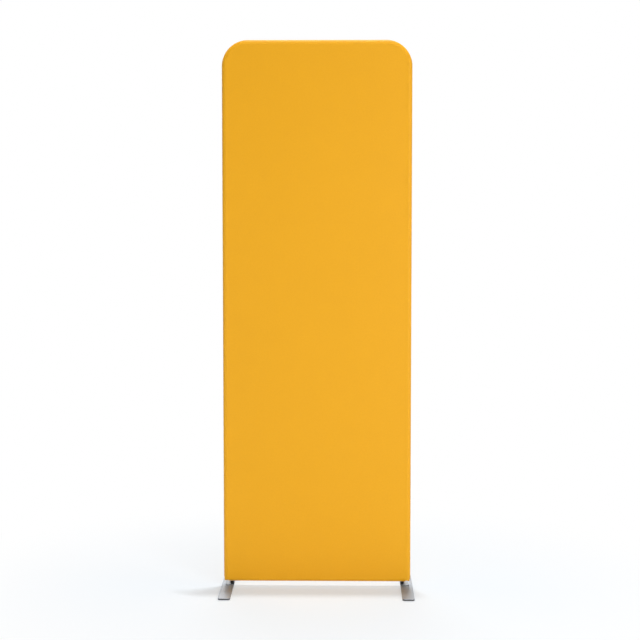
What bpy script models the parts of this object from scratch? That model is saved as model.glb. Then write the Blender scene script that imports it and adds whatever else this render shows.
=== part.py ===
"""A free-standing tension-fabric banner stand, in metres.

+X is the banner's right side as seen from the front, +Y points to the back and +Z up. The origin is on the
floor, midway between the two feet.
"""

import math

import bmesh
import bpy
from mathutils import Matrix

# Overall size and general clearances
BANNER_HEIGHT = 2.300
BANNER_WIDTH = 0.790
FIT_GAP = 0.0003
OVERRUN = 0.004
MERGE_DISTANCE = 0.00001

# Frame tube, its sections and its joints
TUBE_DIAMETER = 0.030
TUBE_WALL = 0.002
TUBE_BEND_RADIUS = 0.092
LOWER_UPRIGHT_LENGTH = 0.730
MIDDLE_UPRIGHT_LENGTH = 0.750
FERRULE_LENGTH = 0.100
FERRULE_WALL = 0.002
CORNER_ARM_MARGIN = 0.002

# Snap buttons and their leaf springs
BUTTON_DIAMETER = 0.0075
BUTTON_PROUD = 0.0025
BUTTON_DOME = 0.0012
BUTTON_FLANGE_DIAMETER = 0.010
BUTTON_FLANGE_THICKNESS = 0.001
BUTTON_FROM_JOINT = 0.025
SPRING_THICKNESS = 0.0008
SPRING_WIDTH = 0.008
SPRING_LENGTH = 0.060

# Cloth cover
CLOTH_THICKNESS = 0.0005
POST_HOLE_EASE = 0.0006

# Feet
FOOT_LENGTH = 0.450
FOOT_WIDTH = 0.050
FOOT_THICKNESS = 0.006
FOOT_CORNER_RADIUS = 0.010
FOOT_EDGE_ROUND = 0.0008
PAD_DIAMETER = 0.030
PAD_THICKNESS = 0.002
PAD_INSET = 0.035
PAD_CHAMFER = 0.0004

# Pivot between foot and post
BOLT_DIAMETER = 0.008
BOLT_HEAD_DIAMETER = 0.016
BOLT_HEAD_THICKNESS = 0.0024
BOLT_REACH = 0.0225
BOLT_CHAMFER = 0.0008
BOLT_SOCKET_RADIUS = 0.0028
BOLT_SOCKET_DEPTH = 0.0016
BORE_BEYOND_BOLT = 0.0015
WASHER_DIAMETER = 0.020
WASHER_THICKNESS = 0.001

# Base connector, whose neck is the bright post under the cloth
NECK_DIAMETER = 0.022
CONNECTOR_CHAMFER = 0.0005
CONE_HEIGHT = 0.006
COLLAR_BELOW_RAIL = 0.0028
COLLAR_ABOVE_RAIL = 0.0200
SPIGOT_LENGTH = 0.075
SPIGOT_CHAMFER = 0.002

# Thumb-screw
KNOB_DIAMETER = 0.015
KNOB_LENGTH = 0.014
KNOB_LOBES = 7
KNOB_LOBE_DEPTH = 0.0007
KNOB_EDGE_ROUND = 0.0012
KNOB_FOOT_CLEARANCE = 0.0004
KNOB_NECK_CLEARANCE = 0.0006
STUD_DIAMETER = 0.006
STUD_IN_KNOB = 0.008

# Bottom rail's end plugs and screws
PLUG_HORN = 0.006
PLUG_HEAD_LENGTH = 0.007
PLUG_BODY_LENGTH = 0.035
SCREW_DIAMETER = 0.005
SCREW_HEAD_DIAMETER = 0.0085
SCREW_HEAD_HEIGHT = 0.0048
SCREW_HEAD_RECESS = 0.0007
SCREW_REACH = 0.040
SCREW_SOCKET_RADIUS = 0.0023
SCREW_SOCKET_DEPTH = 0.0025

# Zip across the back
ZIP_ABOVE_RAIL = 0.022
ZIP_END_INSET = 0.045
ZIP_SLOT_HALF = 0.0065
ZIP_SLOT_END = 0.002
TAPE_WIDTH = 0.0138
TAPE_THICKNESS = 0.0005
TAPE_SHORT_OF_SLOT = 0.018
COIL_WIDTH = 0.0026
COIL_HEIGHT = 0.002
STOP_LENGTH = 0.0032
STOP_HEIGHT = 0.0022
SLIDER_LENGTH = 0.016
SLIDER_WIDTH = 0.0094
SLIDER_PLATE = 0.0012
SLIDER_CORNER = 0.0025
SLIDER_FLANGE = 0.0014
SLIDER_CLEARANCE = 0.0004
SLIDER_POST_DIAMETER = 0.0026
BAIL_LENGTH = 0.007
BAIL_WIRE = 0.0012
BAIL_RISE = 0.0027
TAB_LENGTH = 0.030
TAB_WIDTH = 0.007
TAB_THICKNESS = 0.0012
TAB_CORNER = 0.002
TAB_BAR = 0.0018
TAB_HOLE_LENGTH = 0.0075
TAB_HOLE_WIDTH = 0.003
TAB_CLEARANCE = 0.0006

# How finely round shapes are divided
TUBE_SIDES = 24
POST_SIDES = 40
SMALL_SIDES = 16
CORNER_STEPS = 6
BEND_STEPS = 10
CLOTH_PROFILE_STEPS = 6
LOBE_POINTS = 6
SMOOTH_ANGLE = math.radians(35)
HEX_SIDES = 6

# Sizes that follow from those above
tube_radius = TUBE_DIAMETER / 2
tube_bore_radius = tube_radius - TUBE_WALL
inside_tube_radius = tube_bore_radius - FIT_GAP
ferrule_bore_radius = inside_tube_radius - FERRULE_WALL
cloth_inner_reach = tube_radius + FIT_GAP
cloth_reach = cloth_inner_reach + CLOTH_THICKNESS
post_x = BANNER_WIDTH / 2 - cloth_reach
top_z = BANNER_HEIGHT - cloth_reach

foot_bottom = PAD_THICKNESS + FIT_GAP
foot_top = foot_bottom + FOOT_THICKNESS
washer_bottom = foot_top + FIT_GAP
neck_bottom = washer_bottom + WASHER_THICKNESS + FIT_GAP
neck_radius = NECK_DIAMETER / 2
knob_z = foot_top + KNOB_FOOT_CLEARANCE + KNOB_DIAMETER / 2
cloth_bottom = knob_z + KNOB_DIAMETER / 2 + FIT_GAP
rail_z = cloth_bottom + cloth_reach

bolt_radius = BOLT_DIAMETER / 2
bolt_bore_radius = bolt_radius + FIT_GAP
bolt_head_bottom = foot_bottom + FIT_GAP
bolt_head_top = bolt_head_bottom + BOLT_HEAD_THICKNESS
bolt_tip = neck_bottom + BOLT_REACH
collar_bottom = rail_z - COLLAR_BELOW_RAIL
collar_top = rail_z + COLLAR_ABOVE_RAIL
cone_bottom = collar_bottom - CONE_HEIGHT
stud_radius = STUD_DIAMETER / 2
knob_face = neck_radius + KNOB_NECK_CLEARANCE

lower_bottom = collar_top + FIT_GAP
lower_joint_z = lower_bottom + LOWER_UPRIGHT_LENGTH
middle_joint_z = lower_joint_z + FIT_GAP + MIDDLE_UPRIGHT_LENGTH
corner_arm = FERRULE_LENGTH / 2 + CORNER_ARM_MARGIN
rail_joint_from_post = TUBE_BEND_RADIUS + corner_arm

plug_head_start = tube_radius - PLUG_HORN
plug_head_end = tube_radius + PLUG_HEAD_LENGTH
rail_end_from_post = plug_head_end + FIT_GAP
screw_radius = SCREW_DIAMETER / 2
screw_hole_radius = screw_radius + FIT_GAP
screw_head_outer = tube_radius - SCREW_HEAD_RECESS
screw_head_inner = screw_head_outer - SCREW_HEAD_HEIGHT

button_radius = BUTTON_DIAMETER / 2
button_flange_radius = BUTTON_FLANGE_DIAMETER / 2
flange_seat = math.sqrt(ferrule_bore_radius**2 - button_flange_radius**2) - FIT_GAP
button_tip = tube_radius + BUTTON_PROUD
spring_front = flange_seat - BUTTON_FLANGE_THICKNESS - FIT_GAP
spring_back = math.sqrt(ferrule_bore_radius**2 - (SPRING_WIDTH / 2) ** 2) - FIT_GAP

zip_z = rail_z + ZIP_ABOVE_RAIL
zip_half = BANNER_WIDTH / 2 - ZIP_END_INSET
tape_end = zip_half - TAPE_SHORT_OF_SLOT
tape_outer_y = cloth_inner_reach - FIT_GAP
coil_inner_y = tape_outer_y + FIT_GAP
coil_outer_y = coil_inner_y + COIL_HEIGHT
coil_start = -zip_half + STOP_LENGTH + FIT_GAP
plate_inner_y = coil_outer_y + SLIDER_CLEARANCE
plate_outer_y = plate_inner_y + SLIDER_PLATE
slider_x = tape_end + FIT_GAP + SLIDER_POST_DIAMETER - SLIDER_LENGTH / 2
tab_y = plate_outer_y + TAB_CLEARANCE + TAB_THICKNESS / 2


def new_collection(name, hidden=False):
    collection = bpy.data.collections.new(name)
    collection.hide_render = hidden
    bpy.context.scene.collection.children.link(collection)
    return collection


for old in list(bpy.data.objects):
    bpy.data.objects.remove(old, do_unlink=True)
parts = new_collection("fabric_banner_stand")
cutters = new_collection("cutters", hidden=True)


# Materials


def linear(hex_colour):
    """The linear colour of an sRGB one written as six hex digits."""
    shares = [int(hex_colour[i : i + 2], 16) / 255 for i in (0, 2, 4)]
    return [s / 12.92 if s <= 0.04045 else ((s + 0.055) / 1.055) ** 2.4 for s in shares]


def material(name, hex_colour, roughness, metallic=0.0):
    made = bpy.data.materials.new(name)
    made.use_nodes = True
    shader = made.node_tree.nodes["Principled BSDF"]
    shader.inputs["Base Color"].default_value = (*linear(hex_colour), 1.0)
    shader.inputs["Roughness"].default_value = roughness
    shader.inputs["Metallic"].default_value = metallic
    made.diffuse_color = (*linear(hex_colour), 1.0)
    return made


AMBER_CLOTH = material("amber_stretch_cloth", "efae2d", 0.85)
SATIN_STEEL = material("satin_steel", "b4b4b2", 0.35, 1.0)
BRIGHT_METAL = material("bright_turned_aluminium", "dcdde0", 0.15, 1.0)
TUBE_ALUMINIUM = material("anodised_tube", "c4c6c8", 0.40, 1.0)
FERRULE_ALUMINIUM = material("mill_finish_ferrule", "b5b7b9", 0.45, 1.0)
ZINC_STEEL = material("zinc_plated_steel", "a9abad", 0.30, 1.0)
SPRING_STEEL = material("spring_steel", "8a8c90", 0.30, 1.0)
BLACK_PLASTIC = material("black_moulded_plastic", "191816", 0.45)
BLACK_RUBBER = material("black_rubber", "1d1d1d", 0.80)
WHITE_NYLON = material("natural_nylon", "d9d5c8", 0.50)
ZIP_TAPE = material("zip_tape", "e0a32c", 0.85)
ZIP_COIL = material("zip_coil", "d99c28", 0.45)


# Ways of making a shape


def place(obj, parent=None, location=(0, 0, 0), rotation=(0, 0, 0)):
    obj.parent = parent
    obj.location = location
    obj.rotation_euler = rotation
    return obj


def empty(name, parent=None, location=(0, 0, 0), rotation=(0, 0, 0)):
    made = bpy.data.objects.new(name, None)
    parts.objects.link(made)
    return place(made, parent, location, rotation)


def add_part(name, mesh, finish):
    made = bpy.data.objects.new(name, mesh)
    mesh.materials.append(finish)
    parts.objects.link(made)
    return made


def add_cutter(name, mesh):
    made = bpy.data.objects.new(name, mesh)
    made.hide_render = True
    made.display_type = "WIRE"
    cutters.objects.link(made)
    return made


def boolean(obj, other, operation="DIFFERENCE"):
    modifier = obj.modifiers.new(other.name, "BOOLEAN")
    modifier.operation = operation
    modifier.solver = "EXACT"
    modifier.object = other


def turned(name, profile, finish, sides, closed=False):
    """Turns (radius, height) points about local Z. They run down the outer side, from top to bottom."""
    mesh = bpy.data.meshes.new(name)
    edges = [(i, i + 1) for i in range(len(profile) - 1)]
    if closed:
        edges.append((len(profile) - 1, 0))
    mesh.from_pydata([(radius, 0, height) for radius, height in profile], edges, [])
    made = add_part(name, mesh, finish)
    screw = made.modifiers.new("turn", "SCREW")
    screw.steps = sides
    screw.render_steps = sides
    screw.use_merge_vertices = True
    screw.merge_threshold = MERGE_DISTANCE
    screw.use_smooth_shade = True
    return made


def tube(name, outer, inner, bottom, top, finish, sides=TUBE_SIDES):
    profile = [(outer, top), (outer, bottom), (inner, bottom), (inner, top)]
    return turned(name, profile, finish, sides, closed=True)


def cylinder_cutter(name, radius, start, end, sides=SMALL_SIDES):
    """A round cutter along local Z, from start to end."""
    mesh = bpy.data.meshes.new(name)
    shape = bmesh.new()
    middle = Matrix.Translation((0, 0, (start + end) / 2))
    bmesh.ops.create_cone(
        shape, cap_ends=True, segments=sides, radius1=radius, radius2=radius, depth=end - start, matrix=middle
    )
    shape.to_mesh(mesh)
    shape.free()
    return add_cutter(name, mesh)


def box_mesh(name, low, high):
    mesh = bpy.data.meshes.new(name)
    shape = bmesh.new()
    sides = [b - a for a, b in zip(low, high)]
    middle = [(a + b) / 2 for a, b in zip(low, high)]
    bmesh.ops.create_cube(shape, size=1, matrix=Matrix.LocRotScale(middle, None, sides))
    shape.to_mesh(mesh)
    shape.free()
    return mesh


def arc(x, y, radius, start, end, steps):
    """Points of an arc about (x, y), with its angles in degrees."""
    angles = [math.radians(start + (end - start) * i / steps) for i in range(steps + 1)]
    return [(x + radius * math.cos(angle), y + radius * math.sin(angle)) for angle in angles]


def rounded_rectangle(width, height, radius, steps=CORNER_STEPS):
    x = width / 2 - radius
    y = height / 2 - radius
    return (
        arc(x, y, radius, 0, 90, steps)
        + arc(-x, y, radius, 90, 180, steps)
        + arc(-x, -y, radius, 180, 270, steps)
        + arc(x, -y, radius, 270, 360, steps)
    )


def curve_mesh(curve):
    """The mesh of a curve, with its caps or faces welded to its sides."""
    guide = bpy.data.objects.new(curve.name, curve)
    bpy.context.scene.collection.objects.link(guide)
    graph = bpy.context.evaluated_depsgraph_get()
    mesh = bpy.data.meshes.new_from_object(guide.evaluated_get(graph))
    bpy.data.objects.remove(guide, do_unlink=True)
    shape = bmesh.new()
    shape.from_mesh(mesh)
    bmesh.ops.remove_doubles(shape, verts=shape.verts, dist=MERGE_DISTANCE)
    bmesh.ops.recalc_face_normals(shape, faces=shape.faces)
    shape.to_mesh(mesh)
    shape.free()
    return mesh


def new_curve(name, dimensions, outlines, cyclic):
    curve = bpy.data.curves.new(name, "CURVE")
    curve.dimensions = dimensions
    for outline in outlines:
        spline = curve.splines.new("POLY")
        spline.points.add(len(outline) - 1)
        for point, place_of_point in zip(spline.points, outline):
            point.co = (*place_of_point, 1)
        spline.use_cyclic_u = cyclic
    return curve


def flat_mesh(name, outlines, thickness, edge_round=0):
    """A flat piece in the local XY plane. An outline inside another is a hole."""
    curve = new_curve(name, "2D", [[(x, y, 0) for x, y in outline] for outline in outlines], cyclic=True)
    curve.fill_mode = "BOTH"
    curve.extrude = thickness / 2 - edge_round
    curve.bevel_depth = edge_round
    curve.bevel_resolution = 1
    curve.offset = -edge_round
    return curve_mesh(curve)


def wire_mesh(name, points, radius, resolution, capped=True):
    """A round wire or tube along the points."""
    curve = new_curve(name, "3D", [points], cyclic=False)
    curve.bevel_depth = radius
    curve.bevel_resolution = resolution
    curve.use_fill_caps = capped
    return curve_mesh(curve)


def smooth(mesh):
    mesh.shade_smooth()
    mesh.set_sharp_from_angle(angle=SMOOTH_ANGLE)
    return mesh


ALONG_X = (0, math.radians(90), 0)
UPRIGHT = (math.radians(90), 0, 0)


# Feet


def make_foot(side, post):
    """The swivelling foot: plate, pads, pivot bolt and washer, all about the post's axis."""
    outline = rounded_rectangle(FOOT_WIDTH, FOOT_LENGTH, FOOT_CORNER_RADIUS)
    mesh = smooth(flat_mesh(f"foot_plate_{side}", [outline], FOOT_THICKNESS, FOOT_EDGE_ROUND))
    plate = add_part(f"foot_plate_{side}", mesh, SATIN_STEEL)
    place(plate, post, (0, 0, foot_bottom + FOOT_THICKNESS / 2))

    hole = cylinder_cutter(f"pivot_hole_{side}", bolt_bore_radius, foot_bottom - OVERRUN, foot_top + OVERRUN)
    sink_radius = BOLT_HEAD_DIAMETER / 2 + FIT_GAP
    sink = cylinder_cutter(f"pivot_sink_{side}", sink_radius, foot_bottom - OVERRUN, bolt_head_top + FIT_GAP, TUBE_SIDES)
    for cutter in (hole, sink):
        boolean(plate, place(cutter, post))

    pad_radius = PAD_DIAMETER / 2
    profile = [
        (0, PAD_THICKNESS),
        (pad_radius, PAD_THICKNESS),
        (pad_radius, PAD_CHAMFER),
        (pad_radius - PAD_CHAMFER, 0),
        (0, 0),
    ]
    for end, direction in (("front", -1), ("rear", 1)):
        pad = turned(f"foot_pad_{end}_{side}", profile, BLACK_RUBBER, TUBE_SIDES)
        place(pad, post, (0, direction * (FOOT_LENGTH / 2 - PAD_INSET), 0))

    profile = [
        (0, bolt_tip),
        (bolt_radius - BOLT_CHAMFER, bolt_tip),
        (bolt_radius, bolt_tip - BOLT_CHAMFER),
        (bolt_radius, bolt_head_top),
        (BOLT_HEAD_DIAMETER / 2, bolt_head_top),
        (BOLT_HEAD_DIAMETER / 2, bolt_head_bottom),
        (0, bolt_head_bottom),
    ]
    bolt = place(turned(f"pivot_bolt_{side}", profile, ZINC_STEEL, TUBE_SIDES), post)
    socket_top = bolt_head_bottom + BOLT_SOCKET_DEPTH
    socket = cylinder_cutter(
        f"bolt_socket_{side}", BOLT_SOCKET_RADIUS, bolt_head_bottom - OVERRUN, socket_top, HEX_SIDES
    )
    boolean(bolt, place(socket, post))

    washer_top = washer_bottom + WASHER_THICKNESS
    washer = tube(
        f"swivel_washer_{side}", WASHER_DIAMETER / 2, bolt_bore_radius, washer_bottom, washer_top, WHITE_NYLON
    )
    place(washer, post)


# Base connector with its thumb-screw


def make_base_connector(side, post):
    """The turned piece that joins foot, upright and bottom rail."""
    spigot_top = collar_top + SPIGOT_LENGTH
    bore_top = bolt_tip + BORE_BEYOND_BOLT
    profile = [
        (0, spigot_top),
        (inside_tube_radius - SPIGOT_CHAMFER, spigot_top),
        (inside_tube_radius, spigot_top - SPIGOT_CHAMFER),
        (inside_tube_radius, collar_top),
        (tube_radius, collar_top),
        (tube_radius, collar_bottom),
        (neck_radius, cone_bottom),
        (neck_radius, neck_bottom + CONNECTOR_CHAMFER),
        (neck_radius - CONNECTOR_CHAMFER, neck_bottom),
        (bolt_bore_radius, neck_bottom),
        (bolt_bore_radius, bore_top),
        (0, bore_top),
    ]
    connector = place(turned(f"base_connector_{side}", profile, BRIGHT_METAL, POST_SIDES), post)
    stud_hole = cylinder_cutter(f"stud_hole_{side}", stud_radius + FIT_GAP, bolt_radius, neck_radius + OVERRUN)
    boolean(connector, place(stud_hole, post, (0, 0, knob_z), ALONG_X))
    reach = tube_radius + OVERRUN
    screw_hole = cylinder_cutter(f"rail_screw_hole_{side}", screw_hole_radius, -reach, reach)
    head_radius = SCREW_HEAD_DIAMETER / 2 + FIT_GAP
    head_hole = cylinder_cutter(f"rail_screw_sink_{side}", head_radius, -reach, FIT_GAP - screw_head_inner, TUBE_SIDES)
    for cutter in (screw_hole, head_hole):
        boolean(connector, place(cutter, post, (0, 0, rail_z), ALONG_X))


def knob_outline():
    """A round grip with shallow lobes."""
    count = KNOB_LOBES * LOBE_POINTS
    middle = KNOB_DIAMETER / 2 - KNOB_LOBE_DEPTH / 2
    points = []
    for i in range(count):
        turn = 2 * math.pi * i / count
        radius = middle + KNOB_LOBE_DEPTH / 2 * math.cos(KNOB_LOBES * turn)
        points.append((radius * math.cos(turn), radius * math.sin(turn)))
    return points


def make_thumb_screw(side, post):
    """The moulded knob and the steel stud that bears on the pivot bolt."""
    axis = empty(f"thumb_screw_axis_{side}", post, (0, 0, knob_z), ALONG_X)
    mesh = smooth(flat_mesh(f"thumb_knob_{side}", [knob_outline()], KNOB_LENGTH, KNOB_EDGE_ROUND))
    knob = place(add_part(f"thumb_knob_{side}", mesh, BLACK_PLASTIC), axis, (0, 0, knob_face + KNOB_LENGTH / 2))
    stud_end = knob_face + STUD_IN_KNOB
    pocket = cylinder_cutter(f"stud_pocket_{side}", stud_radius + FIT_GAP, knob_face - OVERRUN, stud_end + FIT_GAP)
    boolean(knob, place(pocket, axis))
    stud_start = bolt_radius + FIT_GAP
    profile = [(0, stud_end), (stud_radius, stud_end), (stud_radius, stud_start), (0, stud_start)]
    place(turned(f"thumb_stud_{side}", profile, ZINC_STEEL, SMALL_SIDES), axis)


# Frame tubes and their joints


def make_joint(name, parent, location, rotation=(0, 0, 0)):
    """A tube joint at an empty whose Z runs up the tube and whose X faces the button's side.

    It makes the ferrule, the snap button and the leaf spring, and returns the cutter of the button's hole.
    """
    joint = empty(f"joint_{name}", parent, location, rotation)
    half = FERRULE_LENGTH / 2
    ferrule = tube(f"ferrule_{name}", inside_tube_radius, ferrule_bore_radius, -half, half, FERRULE_ALUMINIUM)
    place(ferrule, joint)
    hole = cylinder_cutter(f"button_hole_{name}", button_radius + FIT_GAP, 0, button_tip + OVERRUN)
    place(hole, joint, (0, 0, BUTTON_FROM_JOINT), ALONG_X)
    boolean(ferrule, hole)

    profile = [
        (0, button_tip),
        (button_radius - BUTTON_DOME, button_tip),
        (button_radius, button_tip - BUTTON_DOME),
        (button_radius, flange_seat),
        (button_flange_radius, flange_seat),
        (button_flange_radius, flange_seat - BUTTON_FLANGE_THICKNESS),
        (0, flange_seat - BUTTON_FLANGE_THICKNESS),
    ]
    button = turned(f"snap_button_{name}", profile, ZINC_STEEL, SMALL_SIDES)
    place(button, joint, (0, 0, BUTTON_FROM_JOINT), ALONG_X)

    arm_end = BUTTON_FROM_JOINT + button_flange_radius
    bend_radius = (spring_front + spring_back) / 2
    bend_x = (spring_front - spring_back) / 2
    bend_z = arm_end - SPRING_LENGTH + bend_radius
    outline = (
        [(spring_front, arm_end)]
        + arc(bend_x, bend_z, bend_radius, 0, -180, BEND_STEPS)
        + [(-spring_back, arm_end), (SPRING_THICKNESS - spring_back, arm_end)]
        + arc(bend_x, bend_z, bend_radius - SPRING_THICKNESS, -180, 0, BEND_STEPS)
        + [(spring_front - SPRING_THICKNESS, arm_end)]
    )
    mesh = smooth(flat_mesh(f"leaf_spring_{name}", [outline], SPRING_WIDTH))
    place(add_part(f"leaf_spring_{name}", mesh, SPRING_STEEL), joint, rotation=UPRIGHT)
    return hole


def make_corner_tube(side, post):
    """The bent tube: up the side, round the corner and a short way along the top."""
    start = middle_joint_z + FIT_GAP
    bend_z = top_z - TUBE_BEND_RADIUS
    bend = arc(TUBE_BEND_RADIUS, bend_z, TUBE_BEND_RADIUS, 180, 90, BEND_STEPS)
    path = [(0, start), *bend, (rail_joint_from_post, top_z)]
    resolution = (TUBE_SIDES - 4) // 2
    mesh = wire_mesh(f"corner_tube_{side}", [(x, 0, z) for x, z in path], tube_radius, resolution, capped=False)
    corner = place(add_part(f"corner_tube_{side}", smooth(mesh), TUBE_ALUMINIUM), post)
    wall = corner.modifiers.new("wall", "SOLIDIFY")
    wall.thickness = TUBE_WALL
    wall.offset = -1
    wall.use_even_offset = True
    return corner


def make_upright(side, post):
    """The three tubes of one side and the joints between them."""
    lower = tube(
        f"lower_upright_{side}", tube_radius, tube_bore_radius, lower_bottom, lower_joint_z, TUBE_ALUMINIUM
    )
    place(lower, post)
    middle_bottom = lower_joint_z + FIT_GAP
    middle = tube(
        f"middle_upright_{side}", tube_radius, tube_bore_radius, middle_bottom, middle_joint_z, TUBE_ALUMINIUM
    )
    place(middle, post)
    corner = make_corner_tube(side, post)
    boolean(middle, make_joint(f"lower_{side}", post, (0, 0, lower_joint_z)))
    boolean(corner, make_joint(f"middle_{side}", post, (0, 0, middle_joint_z)))
    return make_joint(f"top_{side}", post, (rail_joint_from_post, 0, top_z), ALONG_X)


def make_top_rail(holes):
    half = post_x - rail_joint_from_post - FIT_GAP
    rail = tube("top_rail", tube_radius, tube_bore_radius, -half, half, TUBE_ALUMINIUM)
    place(rail, None, (0, 0, top_z), ALONG_X)
    for hole in holes:
        boolean(rail, hole)


def make_bottom_rail():
    half = post_x - rail_end_from_post
    rail = tube("bottom_rail", tube_radius, tube_bore_radius, -half, half, TUBE_ALUMINIUM)
    place(rail, None, (0, 0, rail_z), ALONG_X)


def make_rail_end(side, post):
    """The moulded plug that saddles the collar, and the screw that draws it tight."""
    plug_end = plug_head_end + PLUG_BODY_LENGTH
    profile = [
        (inside_tube_radius, plug_end),
        (inside_tube_radius, plug_head_end),
        (tube_radius, plug_head_end),
        (tube_radius, plug_head_start),
        (screw_hole_radius, plug_head_start),
        (screw_hole_radius, plug_end),
    ]
    plug = turned(f"rail_plug_{side}", profile, BLACK_PLASTIC, TUBE_SIDES, closed=True)
    place(plug, post, (0, 0, rail_z), ALONG_X)
    low = rail_z - tube_radius - OVERRUN
    high = rail_z + tube_radius + OVERRUN
    saddle = cylinder_cutter(f"saddle_{side}", tube_radius + FIT_GAP, low, high, POST_SIDES)
    boolean(plug, place(saddle, post))

    head_radius = SCREW_HEAD_DIAMETER / 2
    profile = [
        (0, SCREW_REACH),
        (screw_radius, SCREW_REACH),
        (screw_radius, -screw_head_inner),
        (head_radius, -screw_head_inner),
        (head_radius, -screw_head_outer),
        (0, -screw_head_outer),
    ]
    screw = turned(f"rail_screw_{side}", profile, ZINC_STEEL, SMALL_SIDES)
    place(screw, post, (0, 0, rail_z), ALONG_X)
    socket_end = SCREW_SOCKET_DEPTH - screw_head_outer
    socket = cylinder_cutter(
        f"screw_socket_{side}", SCREW_SOCKET_RADIUS, -screw_head_outer - OVERRUN, socket_end, HEX_SIDES
    )
    boolean(screw, place(socket, post, (0, 0, rail_z), ALONG_X))


# Cloth cover


def cover_surface():
    """The taut outer surface of the cover: the frame's outline, rounded all along its edge by the tubes."""
    x = post_x - TUBE_BEND_RADIUS
    z = top_z - TUBE_BEND_RADIUS
    outline = (
        [(-post_x, rail_z), (post_x, rail_z)]
        + arc(x, z, TUBE_BEND_RADIUS, 0, 90, BEND_STEPS)
        + arc(-x, z, TUBE_BEND_RADIUS, 90, 180, BEND_STEPS)
    )
    curve = new_curve("cover", "2D", [[(a, b, 0) for a, b in outline]], cyclic=True)
    curve.fill_mode = "BOTH"
    curve.bevel_depth = cloth_reach
    curve.bevel_resolution = CLOTH_PROFILE_STEPS
    mesh = curve_mesh(curve)
    mesh.transform(Matrix.Rotation(math.radians(90), 4, "X"))
    return mesh


def make_panel(name, seam_y, seam_z, is_back):
    """One cloth panel: the cover's surface on one side of the seam, given the cloth's thickness."""
    mesh = cover_surface()
    shape = bmesh.new()
    shape.from_mesh(mesh)
    for spot, normal in (((0, seam_y, 0), (0, 1, 0)), ((0, 0, seam_z), (0, 0, 1))):
        geometry = [*shape.verts, *shape.edges, *shape.faces]
        bmesh.ops.bisect_plane(shape, geom=geometry, dist=MERGE_DISTANCE, plane_co=spot, plane_no=normal)

    def behind(face):
        middle = face.calc_center_median()
        return middle.y > seam_y and middle.z > seam_z

    unwanted = [face for face in shape.faces if behind(face) != is_back]
    bmesh.ops.delete(shape, geom=unwanted, context="FACES")
    shape.to_mesh(mesh)
    shape.free()
    panel = add_part(name, smooth(mesh), AMBER_CLOTH)
    cloth = panel.modifiers.new("cloth", "SOLIDIFY")
    cloth.thickness = CLOTH_THICKNESS
    cloth.offset = -1
    cloth.use_even_offset = True
    return panel


def make_cover(posts):
    half_gap = FIT_GAP / 2
    front = make_panel("cover_front_panel", -half_gap, zip_z - half_gap, is_back=False)
    back = make_panel("cover_back_panel", half_gap, zip_z + half_gap, is_back=True)
    slot_end = zip_half + ZIP_SLOT_END
    low = (-slot_end, tube_radius / 2, zip_z - ZIP_SLOT_HALF)
    high = (slot_end, cloth_reach + OVERRUN, zip_z + ZIP_SLOT_HALF)
    slot = add_cutter("zip_slot", box_mesh("zip_slot", low, high))
    for panel in (front, back):
        boolean(panel, slot)
    for side, post in posts.items():
        radius = neck_radius + POST_HOLE_EASE
        hole = cylinder_cutter(f"post_hole_{side}", radius, cloth_bottom - OVERRUN, cone_bottom, POST_SIDES)
        boolean(front, place(hole, post))


# Zip


def make_zip():
    """The zip's tapes, coils and stop, with the slider at its closed end."""
    line = empty("zip_line", None, (0, 0, zip_z))
    half_gap = FIT_GAP / 2
    for name, direction in (("lower", -1), ("upper", 1)):
        near = direction * half_gap
        far = direction * (half_gap + TAPE_WIDTH)
        low = (-zip_half, tape_outer_y - TAPE_THICKNESS, min(near, far))
        tape = box_mesh(f"zip_tape_{name}", low, (tape_end, tape_outer_y, max(near, far)))
        place(add_part(f"zip_tape_{name}", tape, ZIP_TAPE), line)
        far = direction * (half_gap + COIL_WIDTH)
        low = (coil_start, coil_inner_y, min(near, far))
        coil = box_mesh(f"zip_coil_{name}", low, (tape_end, coil_outer_y, max(near, far)))
        place(add_part(f"zip_coil_{name}", coil, ZIP_COIL), line)

    half_stop = COIL_WIDTH + half_gap
    low = (-zip_half, coil_inner_y, -half_stop)
    high = (STOP_LENGTH - zip_half, coil_inner_y + STOP_HEIGHT, half_stop)
    place(add_part("zip_stop", box_mesh("zip_stop", low, high), ZINC_STEEL), line)

    slider = make_slider(line)
    make_pull_tab(slider)


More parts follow.
